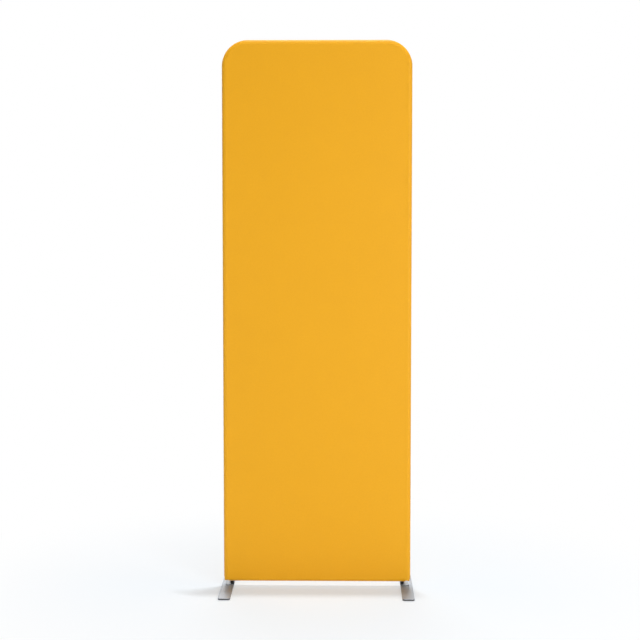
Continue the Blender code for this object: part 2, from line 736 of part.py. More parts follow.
def make_slider(line):
    """Two plates joined by a post that parts the coils, with flanges at the sides and a bail on the outside."""
    origin = empty("zip_slider_origin", line, (slider_x, 0, 0))
    outline = rounded_rectangle(SLIDER_LENGTH, SLIDER_WIDTH, SLIDER_CORNER, 3)
    mesh = flat_mesh("zip_slider", [outline], SLIDER_PLATE)
    slider = add_part("zip_slider", mesh, ZINC_STEEL)
    place(slider, origin, (0, plate_inner_y + SLIDER_PLATE / 2, 0), UPRIGHT)

    under_y = tape_outer_y - TAPE_THICKNESS - SLIDER_CLEARANCE - SLIDER_PLATE / 2
    under = add_cutter("slider_under_plate", flat_mesh("slider_under_plate", [outline], SLIDER_PLATE))
    place(under, origin, (0, under_y, 0), UPRIGHT)
    post_radius = SLIDER_POST_DIAMETER / 2
    low = under_y - SLIDER_PLATE / 4
    high = plate_outer_y - SLIDER_PLATE / 4
    post = cylinder_cutter("slider_post", post_radius, low, high)
    post_place = SLIDER_LENGTH / 2 - post_radius
    place(post, origin, (post_place, 0, 0), (math.radians(-90), 0, 0))
    flanges = []
    for name, direction in (("lower", -1), ("upper", 1)):
        outer = direction * SLIDER_WIDTH / 2
        inner = direction * (SLIDER_WIDTH / 2 - SLIDER_FLANGE)
        half = SLIDER_LENGTH / 2 - SLIDER_CORNER
        low = (-half, coil_inner_y + SLIDER_CLEARANCE, min(inner, outer))
        high = (half, plate_inner_y + SLIDER_PLATE / 2, max(inner, outer))
        flange = add_cutter(f"slider_flange_{name}", box_mesh(f"slider_flange_{name}", low, high))
        flanges.append(place(flange, origin))

    half = BAIL_LENGTH / 2
    crown = BAIL_RISE + BAIL_WIRE / 2
    foot = -SLIDER_PLATE / 2
    path = [(half, foot), (half, crown / 2), (half - crown / 2, crown)]
    path += [(-x, y) for x, y in reversed(path)]
    bail_points = [(x, y, 0) for x, y in path]
    bail = add_cutter("slider_bail", wire_mesh("slider_bail", bail_points, BAIL_WIRE / 2, 2))
    place(bail, origin, (0, plate_outer_y, 0))
    for piece in (under, post, *flanges, bail):
        boolean(slider, piece, "UNION")
    return origin


def make_pull_tab(slider):
    """The tab turns about its end bar, which lies under the bail. At rest it lies flat over the closed zip."""
    pivot = empty("pull_tab_pivot", slider, (0, tab_y, 0))
    end = TAB_BAR / 2
    middle = end - TAB_LENGTH / 2
    outer = [(x + middle, z) for x, z in rounded_rectangle(TAB_LENGTH, TAB_WIDTH, TAB_CORNER, 3)]
    hole_middle = -end - TAB_HOLE_LENGTH / 2
    hole_corner = TAB_HOLE_WIDTH / 3
    hole = [(x + hole_middle, z) for x, z in rounded_rectangle(TAB_HOLE_LENGTH, TAB_HOLE_WIDTH, hole_corner, 2)]
    mesh = flat_mesh("zip_pull_tab", [outer, hole], TAB_THICKNESS)
    place(add_part("zip_pull_tab", mesh, ZINC_STEEL), pivot, rotation=UPRIGHT)


# Assembly

posts = {
    "left": empty("left_post_axis", None, (-post_x, 0, 0)),
    "right": empty("right_post_axis", None, (post_x, 0, 0), (0, 0, math.radians(180))),
}
top_holes = []
for side_name, post_axis in posts.items():
    make_foot(side_name, post_axis)
    make_base_connector(side_name, post_axis)
    make_thumb_screw(side_name, post_axis)
    top_holes.append(make_upright(side_name, post_axis))
    make_rail_end(side_name, post_axis)
make_top_rail(top_holes)
make_bottom_rail()
make_cover(posts)
make_zip()
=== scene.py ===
# %% [markdown]
# # A tension-fabric banner stand
#
# The object is a tall pillowcase of amber stretch cloth over a frame of round tube, on two flat steel
# feet. Each cell below finishes one piece or one surface. Lengths are in metres, as the frame gives them,
# and small ones are written as so many MM.

# %% Load the frame
import math

import bmesh
import bpy
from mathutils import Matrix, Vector


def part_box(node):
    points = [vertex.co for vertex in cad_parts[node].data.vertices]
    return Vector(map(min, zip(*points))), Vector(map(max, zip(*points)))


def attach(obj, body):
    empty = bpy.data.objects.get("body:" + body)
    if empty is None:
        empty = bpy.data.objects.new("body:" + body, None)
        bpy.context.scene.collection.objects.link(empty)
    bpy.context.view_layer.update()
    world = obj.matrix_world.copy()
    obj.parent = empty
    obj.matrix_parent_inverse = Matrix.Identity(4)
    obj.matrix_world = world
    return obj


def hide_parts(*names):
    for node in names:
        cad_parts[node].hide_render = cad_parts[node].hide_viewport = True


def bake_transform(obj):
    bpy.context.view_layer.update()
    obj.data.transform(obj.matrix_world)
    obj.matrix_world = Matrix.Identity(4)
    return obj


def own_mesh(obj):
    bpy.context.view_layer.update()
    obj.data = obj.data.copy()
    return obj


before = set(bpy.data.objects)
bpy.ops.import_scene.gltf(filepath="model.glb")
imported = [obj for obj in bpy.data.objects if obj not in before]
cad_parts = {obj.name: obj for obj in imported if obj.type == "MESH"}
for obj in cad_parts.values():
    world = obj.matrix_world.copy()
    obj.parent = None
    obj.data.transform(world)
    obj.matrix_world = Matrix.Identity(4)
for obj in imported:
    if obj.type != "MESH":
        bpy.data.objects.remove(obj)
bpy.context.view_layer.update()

MM = 0.001

# %% [markdown]
# The frame already knows where everything is, so the places are read from it and not typed again. A
# tube's centre is the middle of its box. The cloth lies a set distance outside the tubes' centrelines.

# %% Read the sizes that the pieces share


def middle(node):
    low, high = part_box(node)
    return (low + high) / 2


post_x = middle("lower_upright_right").x
rail_z = middle("bottom_rail").z
top_z = middle("top_rail").z
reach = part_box("cover_front_panel")[1].y
zip_z = (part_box("zip_tape_lower")[1].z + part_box("zip_tape_upper")[0].z) / 2
SLOT_PAST_TAPE = 2 * MM
slot_end = SLOT_PAST_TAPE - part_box("zip_tape_lower")[0].x
BEND_RADIUS = 92 * MM
SIDES = {"left": -1, "right": 1}
print("post at", round(post_x, 4), "cloth reach", round(reach, 4), "zip at", round(zip_z, 4))

# %% [markdown]
# ## Camera
#
# The picture was taken from a little right of the middle, from about the height of a person's eyes. The
# lens is long, so the uprights look parallel. The camera tips down a few degrees, and a small vertical
# shift of the picture does the rest of the framing.

# %% Make the camera
CAMERA_PLACE = (0.1128, -6.0609, 1.6498)
CAMERA_LENS_MM = 81.51
SENSOR_WIDTH_MM = 36
CAMERA_TIP = math.radians(3.98)
CAMERA_PAN = math.radians(0.95)
CAMERA_SHIFT = -0.034


def add_object(name, data):
    made = bpy.data.objects.new(name, data)
    bpy.context.scene.collection.objects.link(made)
    return made


camera = add_object("camera", bpy.data.cameras.new("camera"))
camera.location = CAMERA_PLACE
camera.rotation_euler = (math.pi / 2 - CAMERA_TIP, 0, CAMERA_PAN)
camera.data.lens = CAMERA_LENS_MM
camera.data.sensor_width = SENSOR_WIDTH_MM
camera.data.shift_y = CAMERA_SHIFT
bpy.context.scene.camera = camera
print("camera at", CAMERA_PLACE, "with a lens of", CAMERA_LENS_MM, "mm")

# %% [markdown]
# ## Helpers for materials
#
# Colours are written as they look on a screen, in hex. Blender's shaders want them linear, so one
# function turns them. Another adds a node, sets it and wires it up in one line. The rest start a material
# and let its colour, roughness or height follow a pattern, such as a fine noise.

# %% Colour and node helpers
NOISE_LOW, NOISE_HIGH = 0.3, 0.7  # a noise seldom goes past these
MIX_A, MIX_B = 6, 7  # the sockets of a Mix node that take colours


def linear(hex_colour):
    """Turns a screen colour to linear light, by the numbers of the sRGB standard."""
    shares = [int(hex_colour[i : i + 2], 16) / 255 for i in (0, 2, 4)]
    return (*(s / 12.92 if s <= 0.04045 else ((s + 0.055) / 1.055) ** 2.4 for s in shares), 1.0)


def add_node(tree, kind, links=None, values=None, **settings):
    """Adds a ShaderNode of a kind such as "Mix".

    links feed its sockets from other sockets, values fill them, and settings are its properties.
    """
    made = tree.nodes.new("ShaderNode" + kind)
    for key, value in settings.items():
        setattr(made, key, value)
    for key, value in (values or {}).items():
        made.inputs[key].default_value = value
    for key, source in (links or {}).items():
        tree.links.new(source, made.inputs[key])
    return made


def new_material(name, hex_colour, roughness, metallic=0.0, values=None):
    made = bpy.data.materials.new(name)
    made.use_nodes = True
    shader = made.node_tree.nodes["Principled BSDF"]
    shader.inputs["Base Color"].default_value = linear(hex_colour)
    shader.inputs["Roughness"].default_value = roughness
    shader.inputs["Metallic"].default_value = metallic
    for key, value in (values or {}).items():
        shader.inputs[key].default_value = value
    return made, made.node_tree, shader


def grain(tree, size, detail=3.0):
    """A noise whose features are about size long in X, Y and Z, in metres."""
    place = add_node(tree, "TexCoord").outputs["Object"]
    scale = tuple(1 / s for s in size)
    spread = add_node(tree, "Mapping", {"Vector": place}, {"Scale": scale})
    values = {"Scale": 1.0, "Detail": detail}
    return add_node(tree, "TexNoise", {"Vector": spread.outputs[0]}, values).outputs["Fac"]


def vary_colour(tree, shader, source, dark, light):
    mix = add_node(tree, "Mix", {0: source}, {MIX_A: linear(dark), MIX_B: linear(light)}, data_type="RGBA")
    tree.links.new(mix.outputs[2], shader.inputs["Base Color"])


def vary_roughness(tree, shader, source, low, high):
    span = {"From Min": NOISE_LOW, "From Max": NOISE_HIGH, "To Min": low, "To Max": high}
    spread = add_node(tree, "MapRange", {"Value": source}, span)
    tree.links.new(spread.outputs[0], shader.inputs["Roughness"])


def raise_surface(tree, shader, source, distance, strength=1.0):
    bump = add_node(tree, "Bump", {"Height": source}, {"Distance": distance, "Strength": strength})
    tree.links.new(bump.outputs[0], shader.inputs["Normal"])


print("helpers ready")

# %% [markdown]
# ## The cloth's finish
#
# Banner covers are a warp-knit polyester, dyed or printed in one flat colour. Close up it has fine
# upright wales and flatter rows across. From a few steps away all that is left is a soft surface with a
# slight gloss, a faint mottle and a pale bloom where it curves away. The knit follows the cut cloth, so
# it reads the panel's own UV map, which is laid out in metres. The mottle is drawn a few millimetres
# coarse, so that it still shows.

# %% Knit cloth
WALE_PITCH = 0.6 * MM
COURSE_PITCH = 0.5 * MM
MOTTLE_SIZE = 7 * MM
KNIT_DEPTH = 0.06 * MM
KNIT_STRENGTH = 0.5
WAVE_LENGTH = 2 * math.pi / 20  # a wave texture of scale 1 repeats in this length

knit_cloth, tree, shader = new_material(
    "warp_knit_polyester_dyed",
    "f5ae10",
    0.5,
    values={
        "Sheen Weight": 0.08,
        "Sheen Roughness": 0.5,
        "Sheen Tint": linear("fff0d0"),
        "Specular IOR Level": 0.28,
    },
)
cut_place = add_node(tree, "UVMap", uv_map="cut").outputs["UV"]
rows_of_loops = {}
for direction, pitch in {"X": WALE_PITCH, "Y": COURSE_PITCH}.items():
    scale = {"Scale": WAVE_LENGTH / pitch}
    wave = add_node(tree, "TexWave", {"Vector": cut_place}, scale, bands_direction=direction)
    rows_of_loops[direction] = wave.outputs["Fac"]
both = {0: rows_of_loops["X"], 1: rows_of_loops["Y"]}
knit = add_node(tree, "Math", both, operation="MULTIPLY").outputs[0]
speckle = {"Scale": 1 / MOTTLE_SIZE, "Detail": 4.0, "Roughness": 0.6}
mottle = add_node(tree, "TexNoise", {"Vector": cut_place}, speckle).outputs["Fac"]
vary_colour(tree, shader, mottle, "f0a90c", "fab314")
raise_surface(tree, shader, knit, KNIT_DEPTH, KNIT_STRENGTH)
print("knit repeats every", WALE_PITCH / MM, "mm")

# %% [markdown]
# ## The other soft finishes
#
# Sewing thread is the same colour as the cloth, with more shine. The zip's tape is a close diagonal
# weave, and its teeth are one long coil of nylon wire, dyed to match. Most finishes from here on have one
# grain, which their colour, their roughness or their height follows, so one function makes them.

# %% Thread, tape and coil


def grained(name, size, colours, roughness, metallic=0.0, height=0.0, detail=3.0, values=None):
    """A material with a grain of this size. Two colours or two roughnesses vary along with it."""
    made, tree, shader = new_material(name, colours[0], roughness[0], metallic, values)
    source = grain(tree, size, detail)
    if len(colours) > 1:
        vary_colour(tree, shader, source, *colours)
    if len(roughness) > 1:
        vary_roughness(tree, shader, source, *roughness)
    if height:
        raise_surface(tree, shader, source, height)
    return made


FIBRE = (0.3 * MM, 0.2 * MM, 0.2 * MM)
sewing_thread = grained(
    "spun_polyester_thread", FIBRE, ["f2b53c"], [0.6], height=0.05 * MM, values={"Sheen Weight": 0.2}
)
coil_nylon = grained("nylon_monofilament", 3 * [3 * MM], ["d8992a", "e3a838"], [0.34])

TWILL_PITCH = 0.9 * MM
TWILL_TILT = math.radians(40)
TWILL_DEPTH = 0.08 * MM
zip_tape_weave, tree, shader = new_material(
    "woven_polyester_tape", "dca02a", 0.8, values={"Sheen Weight": 0.1}
)
place = add_node(tree, "TexCoord").outputs["Object"]
turned = add_node(tree, "Mapping", {"Vector": place}, {"Rotation": (0, TWILL_TILT, 0)}).outputs[0]
scale = {"Scale": WAVE_LENGTH / TWILL_PITCH}
twill = add_node(tree, "TexWave", {"Vector": turned}, scale, bands_direction="X").outputs["Fac"]
vary_colour(tree, shader, twill, "d49822", "e2a732")
raise_surface(tree, shader, twill, TWILL_DEPTH)
print("soft finishes:", sewing_thread.name, zip_tape_weave.name, coil_nylon.name)

# %% [markdown]
# ## The metal finishes
#
# The feet are flat steel bar under a silver powder coat, a plastic with metal flakes in it, which vary
# its grey a little. Below the rounded rim of the top, the sides and the underside are painted dark grey by
# height: light on top, dark below. That dark grey is painted shade, not a colour of the coat. The coat
# is only part metallic.
#
# The necks are turned aluminium with a satin finish. Their fine rings blur what they reflect, so half
# metallic with a high roughness comes closest to their even brightness. The tubes are aluminium, drawn
# and then anodised, so they have faint lines along them and a soft haze. Fasteners are zinc plated. A
# metal's colour is its reflection, so from the tubes on each has full metallic and a grey that says how
# bright the metal is.

# %% Metals
FOOT_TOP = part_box("foot_plate_left")[1].z
SIDE_SHADE_START, SIDE_SHADE_END = 1.0 * MM, 1.8 * MM
ORANGE_PEEL, FLAKE = 1.6 * MM, 0.5 * MM
silver_coat, tree, shader = new_material(
    "silver_powder_coated_steel", "90959c", 0.5, 0.3, values={"Specular IOR Level": 0.3}
)
orange_peel = grain(tree, 3 * [ORANGE_PEEL], 2.0)
flake = grain(tree, 3 * [FLAKE], 1.0)
greys = {MIX_A: linear("868b92"), MIX_B: linear("999fa6")}
face = add_node(tree, "Mix", {0: flake}, greys, data_type="RGBA")
place = add_node(tree, "TexCoord").outputs["Object"]
height = add_node(tree, "SeparateXYZ", {"Vector": place}).outputs["Z"]
# painted shade: below the top's rim the base colour goes over to a dark grey
span = {"From Min": FOOT_TOP - SIDE_SHADE_END, "From Max": FOOT_TOP - SIDE_SHADE_START}
painted_side_shade = add_node(tree, "MapRange", {"Value": height}, span).outputs[0]
# the dark grey of the painted shade on the sides and underside
edge = {MIX_A: linear("36383c")}
coat = add_node(tree, "Mix", {0: painted_side_shade, MIX_B: face.outputs[2]}, edge, data_type="RGBA")
tree.links.new(coat.outputs[2], shader.inputs["Base Color"])
vary_roughness(tree, shader, flake, 0.42, 0.55)
raise_surface(tree, shader, orange_peel, 0.03 * MM)

RINGS = (30 * MM, 30 * MM, 0.5 * MM)
# name, grain, colours, roughnesses, metallic, height of the grain and its detail
satin_neck = grained("turned_satin_aluminium", RINGS, ["f2f3f3"], [0.38, 0.5], 0.5, 0.001 * MM, 2.0)

TUBE_LINE = 0.6 * MM
TUBE_RUN = 150 * MM
TUBE_GRAINS = {"upright": (TUBE_LINE, TUBE_LINE, TUBE_RUN), "across": (TUBE_RUN, TUBE_LINE, TUBE_LINE)}
tube_finishes = {
    way: grained(f"drawn_anodised_aluminium_{way}", size, ["bcbec0", "ccced0"], [0.32, 0.46], 1.0, 0.01 * MM)
    for way, size in TUBE_GRAINS.items()
}

MILL_LINES = (4 * MM, 0.5 * MM, 4 * MM)
ROLLED_LINES = (0.4 * MM, 0.4 * MM, 20 * MM)
SPANGLE, CAST = 3 * [1.2 * MM], 3 * [0.8 * MM]
mill_aluminium = grained("mill_finish_aluminium", MILL_LINES, ["b5b7b9"], [0.36, 0.55], 1.0, 0.015 * MM)
zinc_steel = grained("zinc_plated_steel", SPANGLE, ["a4a7aa", "b8b9ba"], [0.24, 0.38], 1.0)
spring_steel = grained("rolled_spring_steel", ROLLED_LINES, ["808388", "94969a"], [0.25, 0.4], 1.0)
zip_nickel = grained("nickel_plated_zinc_casting", CAST, ["c2bfb8"], [0.18, 0.32], 1.0, 0.01 * MM)
print("metals:", silver_coat.name, satin_neck.name, *[m.name for m in tube_finishes.values()])

# %% [markdown]
# ## Plastics and rubber
#
# The thumb-screws and the rail's end plugs are moulded in a black glass-filled nylon. The mould leaves a
# fine eroded grain. The pads are a dull soft rubber, and the swivel washers are undyed nylon.

# %% Plastics and rubber
ERODED, DUSTY = 3 * [0.5 * MM], 3 * [1.5 * MM]
WASHER_RINGS = (2 * MM, 2 * MM, 0.2 * MM)
black_nylon = grained(
    "moulded_glass_filled_nylon",
    ERODED,
    ["0e0d0c"],
    [0.42, 0.58],
    height=0.03 * MM,
    values={"Specular IOR Level": 0.3},
)
pad_rubber = grained("moulded_soft_rubber", DUSTY, ["1a1a1a", "282725"], [0.8], height=0.03 * MM)
washer_nylon = grained("undyed_turned_nylon", WASHER_RINGS, ["d9d5c8"], [0.5], height=0.01 * MM)
print("moulded:", black_nylon.name, pad_rubber.name, washer_nylon.name)

# %% [markdown]
# ## Dress what the frame already has right
#
# The tubes, ferrules, buttons and fasteners inside the cover have their true shape in the frame. They
# keep it, and take a finish in their own material slots. A finish is chosen by how the node's name
# begins.

# %% Finish the inner pieces
INNER_FINISHES = (
    (tube_finishes["upright"], ("lower_upright", "middle_upright", "corner_tube")),
    (tube_finishes["across"], ("top_rail", "bottom_rail")),
    (mill_aluminium, ("ferrule",)),
    (zinc_steel, ("snap_button", "rail_screw", "pivot_bolt", "thumb_stud")),
    (black_nylon, ("rail_plug",)),
    (washer_nylon, ("swivel_washer",)),
)
dressed = 0
for finish, starts in INNER_FINISHES:
    for node in [node for name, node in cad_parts.items() if name.startswith(starts)]:
        if not node.material_slots:
            node.data.materials.append(finish)
        node.material_slots[0].material = finish
        dressed += 1
print("finished", dressed, "pieces of the frame")

# %% [markdown]
# ## Working by selection
#
# Edit-mode tools act on what is selected. These helpers clear the selection, pick the vertices, edges or
# faces that pass a test, and hand a finished piece to the body that it moves with.

# %% Editing helpers
ROUND_ANGLE = math.radians(35)
WELD = 0.01 * MM  # points closer than this are one
LARGE_SIDES, MEDIUM_SIDES, SMALL_SIDES = 64, 48, 32
FACING, SQUARE_ON = 0.9, 0.99  # least share of a face's normal that points the wanted way


def in_mode(name):
    """Takes the active piece to "EDIT" or "OBJECT" mode, if it isn't there."""
    active = bpy.context.object
    if active and active.mode != name:
        bpy.ops.object.mode_set(mode=name)


def deselect():
    in_mode("OBJECT")
    bpy.ops.object.select_all(action="DESELECT")


def only(obj):
    deselect()
    obj.select_set(True)
    bpy.context.view_layer.objects.active = obj


def pick(obj, kind, wanted):
    """Selects the verts, edges or faces that pass a test, and nothing else. It needs edit mode."""
    bpy.ops.mesh.select_mode(type=kind[:4].upper())
    bpy.ops.mesh.select_all(action="DESELECT")
    shape = bmesh.from_edit_mesh(obj.data)
    for element in getattr(shape, kind):
        if wanted(element):
            element.select_set(True)
    bmesh.update_edit_mesh(obj.data)


def move(x, y, z):
    bpy.ops.transform.translate(value=(x, y, z))


def add_block(low, high):
    """A box between two corners, left in edit mode."""
    low, high = Vector(low), Vector(high)
    deselect()
    bpy.ops.mesh.primitive_cube_add(size=1, location=(low + high) / 2, scale=high - low)
    bpy.ops.object.transform_apply()
    in_mode("EDIT")
    return bpy.context.object


def add_rod(start, end, radius, sides):
    """A cylinder from one point to another, left in object mode."""
    start, end = Vector(start), Vector(end)
    turn = (end - start).to_track_quat("Z", "Y").to_euler()
    deselect()
    bpy.ops.mesh.primitive_cylinder_add(
        vertices=sides, radius=radius, depth=(end - start).length, location=(start + end) / 2, rotation=turn
    )
    bpy.ops.object.transform_apply()
    return bpy.context.object


def combine(obj, other, operation="DIFFERENCE"):
    modifier = obj.modifiers.new("combine", "BOOLEAN")
    modifier.operation = operation
    modifier.object = other
    only(obj)
    bpy.ops.object.modifier_apply(modifier=modifier.name)
    bpy.data.objects.remove(other, do_unlink=True)
    return obj


def thicken(obj, thickness):
    """Gives a sheet a wall, inwards from its faces."""
    only(obj)
    wall = obj.modifiers.new("wall", "SOLIDIFY")
    wall.thickness = thickness
    wall.offset = -1
    bpy.ops.object.modifier_apply(modifier=wall.name)


def round_along(obj, axis, radius, segments):
    """Rounds the edges of a block that run along "x", "y" or "z". It starts and ends in edit mode."""
    i = "xyz".index(axis)
    pick(obj, "edges", lambda e: abs(e.verts[0].co[i] - e.verts[1].co[i]) > WELD)
    bpy.ops.mesh.bevel(offset=radius, segments=segments)


def bevel_sharp(obj, width, segments, angle=60):
    """Rounds every edge that turns by more than the angle. It starts and ends in edit mode."""
    limit = math.radians(angle)
    pick(obj, "edges", lambda e: len(e.link_faces) == 2 and e.calc_face_angle() > limit)
    bpy.ops.mesh.bevel(offset=width, segments=segments)


def hand_over(obj, name, body, finish, nodes=(), angle=ROUND_ANGLE):
    """Smooths, names and finishes a piece, and lets it ride on its body in place of the frame's nodes."""
    only(obj)
    bpy.ops.object.shade_smooth_by_angle(angle=angle)
    obj.name = name
    obj.data.name = name
    obj.data.materials.clear()
    obj.data.materials.append(finish)
    if body:
        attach(obj, body)
    if nodes:
        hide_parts(*nodes)
    print(name, "has", len(obj.data.polygons), "faces")
    return obj


# %% [markdown]
# A snap button sits on one arm of a leaf spring, a steel strip bent double inside the tube. When the
# button is pressed in, that arm swings back with it, from the bend. The spring keeps its shape from the
# frame. A copy of it gets an edge just below the button, and takes the place of the frame's spring. The
# springs stand in the uprights and lie in the top rail, so the way of the arms is read from where the button
# sits.

# %% Copy the leaf springs and cut them below the buttons
BUTTON_SEAT = 1 * MM
for node in [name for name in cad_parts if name.startswith("leaf_spring")]:
    button, centre = node.replace("leaf_spring", "snap_button"), middle(node)
    offset = middle(button) - centre
    across, along = sorted((Vector((offset.x, 0, 0)), Vector((0, 0, offset.z))), key=lambda v: v.length)
    across.normalize()
    along.normalize()
    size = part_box(node)[1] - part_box(node)[0]
    button_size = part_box(button)[1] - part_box(button)[0]
    span, length = abs(size.dot(across)), abs(size.dot(along))
    arm = length - span / 2
    seat = abs(button_size.dot(along)) + BUTTON_SEAT
    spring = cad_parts[node].copy()
    spring.data = spring.data.copy()
    spring.parent = None
    bpy.context.scene.collection.objects.link(spring)
    only(spring)
    in_mode("EDIT")
    bpy.ops.mesh.select_all(action="SELECT")
    bpy.ops.mesh.remove_doubles(threshold=WELD)
    bpy.ops.mesh.bisect(plane_co=centre + along * (length / 2 - seat), plane_no=along)
    hand_over(spring, f"{node}_strip", None, spring_steel, [node])
    start = centre - across * span / 2 + along * length / 2
    line = (across * arm + along * span).normalized()
    end = start + line * line.dot(along) * (arm - seat)
    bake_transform(spring)

# %% [markdown]
# ## The cover's surface
#
# The cover is two flat panels joined round the edge of the frame. Stretched over round tube, its edge is
# a half circle all the way round, its top corners follow the bent tubes and its bottom corners stay
# nearly square. A simulation would only find this shape again, because cloth under tension takes the
# straightest way, so the surface is worked out: a grid for each face, and rings that carry the grid's
# border round the tube.
#
# Rows and columns are close together only where something small happens: at the zip, at the bottom
# corners and round the top bends.

# %% Rows, columns and border of the grid
GRID_STEP = 12 * MM
EDGE_STEP = 5 * MM
SLOT_HALF = 6.5 * MM
SEAM_HALF = 0.15 * MM
NEAR_SLOT = [8 * MM, 9.5 * MM, 11 * MM, 12.5 * MM, 14 * MM]
NEAR_CORNER = [1.2 * MM, 2.8 * MM, 5 * MM, 8 * MM]
BEND_STEPS = 24

bend_z = top_z - BEND_RADIUS


def even(start, end, step):
    """Values from start towards end, about a step apart, without end itself."""
    count = max(1, round((end - start) / step))
    return [start + (end - start) * i / count for i in range(count)]


slot_rows = [SEAM_HALF, SLOT_HALF, *NEAR_SLOT]
heights = [rail_z, *(rail_z + d for d in NEAR_CORNER)]
heights += [zip_z - d for d in reversed(slot_rows)] + [zip_z + d for d in slot_rows[:-1]]
heights += even(zip_z + slot_rows[-1], bend_z, GRID_STEP)
rows = [(z, 0.0) for z in heights]
for i in range(BEND_STEPS + 1):
    turn = math.pi / 2 * i / BEND_STEPS
    rows.append((bend_z + BEND_RADIUS * math.sin(turn), turn))

half_columns = even(0, slot_end, GRID_STEP)
half_columns += [slot_end + d - SLOT_HALF for d in [SLOT_HALF, *NEAR_SLOT]]
half_columns += even(half_columns[-1] + EDGE_STEP, post_x - NEAR_CORNER[-1], EDGE_STEP)
half_columns += [post_x - d for d in reversed(NEAR_CORNER)] + [post_x]
columns = [-x for x in reversed(half_columns[1:])] + half_columns
print("grid of", len(rows), "rows and", len(columns), "columns")

# %% [markdown]
# Where the two panels meet, the spare cloth inside is folded flat and held by a row of stitches. It lifts
# the surface by the thickness of a fold. At the row the cloth pulls in to a groove, which shows as a fine
# line beside each edge, and between the groove and the flat face it stands as a narrow flat, like a
# bevel. The seam itself is a second groove, at mid depth. Round the zip's slot the cloth is turned under
# once. These heights are added to the surface's distance from the tube.

# %% Small heights of the cloth
ROW_FROM_FACE = 8.8 * MM
ROW_GROOVE_WIDTH = 0.9 * MM
FOLD_HEIGHT = 0.45 * MM
SEAM_GROOVE = 0.5 * MM
SEAM_GROOVE_WIDTH = 2.2 * MM
FACE_RISE_WIDTH = 9 * MM
PUCKER = 0.1 * MM
PUCKER_LENGTH = 90 * MM
PUCKER_BEAT = 2.7  # a second wave, this many times longer, breaks up the first
SEAM_FADE = 25 * MM
BOTTOM_FADE = 6 * MM
HEM_WIDTH = 5.2 * MM
HEM_STEP = 1.6 * MM
HEM_HEIGHT = 0.4 * MM
CORNER_ROUND_SHARE = 0.45
QUARTER = math.pi / 2 * reach
RIDGE_HEIGHT = reach / math.cos(ROW_FROM_FACE / 2 / reach) - reach


def smooth_step(value):
    value = min(1.0, max(0.0, value))
    return value * value * (3 - 2 * value)


def edge_height(angle, z, along):
    """Height at this angle round the tube. The flat face is at 0, and the seam at a quarter turn."""
    from_seam = reach * abs(angle - math.pi / 2)
    from_face = QUARTER - from_seam
    if from_face < ROW_FROM_FACE:
        fold = reach / math.cos((from_face - ROW_FROM_FACE / 2) / reach) - reach
    else:
        fold = FOLD_HEIGHT
    fold *= smooth_step(abs(from_face - ROW_FROM_FACE) / ROW_GROOVE_WIDTH)
    fold *= smooth_step((z - rail_z) / BOTTOM_FADE)
    groove = SEAM_GROOVE * smooth_step(1 - from_seam / SEAM_GROOVE_WIDTH)
    wave = 2 * math.pi * along / PUCKER_LENGTH
    wave = math.sin(wave) * math.sin(wave / PUCKER_BEAT)
    pucker = PUCKER * (1 + wave) * smooth_step(from_face / ROW_FROM_FACE - 1)
    return fold + (pucker - groove) * smooth_step((z - zip_z) / SEAM_FADE)


def face_height(x, z):
    """Height of the flat face, which rises a little towards the ridge at its sides and top."""
    corner_x, corner_z = abs(x) - (post_x - BEND_RADIUS), z - bend_z
    if corner_x > 0 and corner_z > 0:
        from_border = BEND_RADIUS - math.hypot(corner_x, corner_z)
    else:
        from_border = min(post_x - abs(x), top_z - z)
    rise = max(0.0, 1 - from_border / FACE_RISE_WIDTH) ** 2
    return RIDGE_HEIGHT * rise * smooth_step((z - rail_z) / BOTTOM_FADE)


def hem_height(x, z):
    """Height of the turned edge round the zip's slot."""
    from_slot = math.hypot(max(abs(x) - slot_end, 0), max(abs(z - zip_z) - SLOT_HALF, 0))
    return HEM_HEIGHT * smooth_step((HEM_WIDTH + HEM_STEP - from_slot) / HEM_STEP)


WRAP_START, WRAP_STEP, WRAP_RESTART = 0.8 * MM, 1.8 * MM, 1.2 * MM
NEAR_ROW = [ROW_FROM_FACE + d * MM for d in (-0.9, -0.55, -0.25, 0, 0.25, 0.55, 0.9)]
NEAR_SEAM = [QUARTER - d * MM for d in (2.2, 1.6, 1.1, 0.6)]
WRAP_PLACES = [
    *even(WRAP_START, NEAR_ROW[0], WRAP_STEP),
    *NEAR_ROW,
    *even(NEAR_ROW[-1] + WRAP_RESTART, NEAR_SEAM[0], WRAP_STEP),
    *NEAR_SEAM,
    QUARTER - SEAM_HALF,
]


def cloth_point(x, z, out_x, out_z, angle, height):
    """The point at this angle round the tube, whose centreline passes (x, z) and faces (out_x, out_z)."""
    radius = reach + height
    out = radius * math.sin(angle)
    across, up = x + out_x * out, z + out_z * out
    corner_round = CORNER_ROUND_SHARE * out
    from_x = abs(across) - (post_x + out - corner_round)
    from_z = (rail_z - out + corner_round) - up
    if from_x > 0 and from_z > 0:
        share = max(from_x, from_z) / math.hypot(from_x, from_z)
        across = math.copysign(post_x + out - corner_round + from_x * share, across)
        up = rail_z - out + corner_round - from_z * share
    return (across, -radius * math.cos(angle), up)


print("ridge", round(RIDGE_HEIGHT / MM, 2), "mm high,", len(WRAP_PLACES), "rings to the seam")

# %% [markdown]
# The surface is built closed, both faces and the edge between them, so that its normals can be told from
# its inside. The UV map is the flat cut: metres across and up, running on round the edge.

# %% Build the whole surface


def column_x(i, turn):
    """X of a column in a row of the grid. In the bend the columns close up."""
    return columns[i] / post_x * (post_x - BEND_RADIUS + BEND_RADIUS * math.cos(turn))


def border_points():
    """Grid place and outward direction of each point on the grid's border, once round."""
    last_row, last_column = len(rows) - 1, len(columns) - 1
    border = []
    for i in range(last_column + 1):
        border.append((0, i, (i == last_column) - (i == 0), -1))
    for j in range(1, last_row):
        border.append((j, last_column, math.cos(rows[j][1]), math.sin(rows[j][1])))
    for i in range(last_column, -1, -1):
        border.append((last_row, i, 0, 1))
    for j in range(last_row - 1, 0, -1):
        border.append((j, 0, -math.cos(rows[j][1]), math.sin(rows[j][1])))
    return border


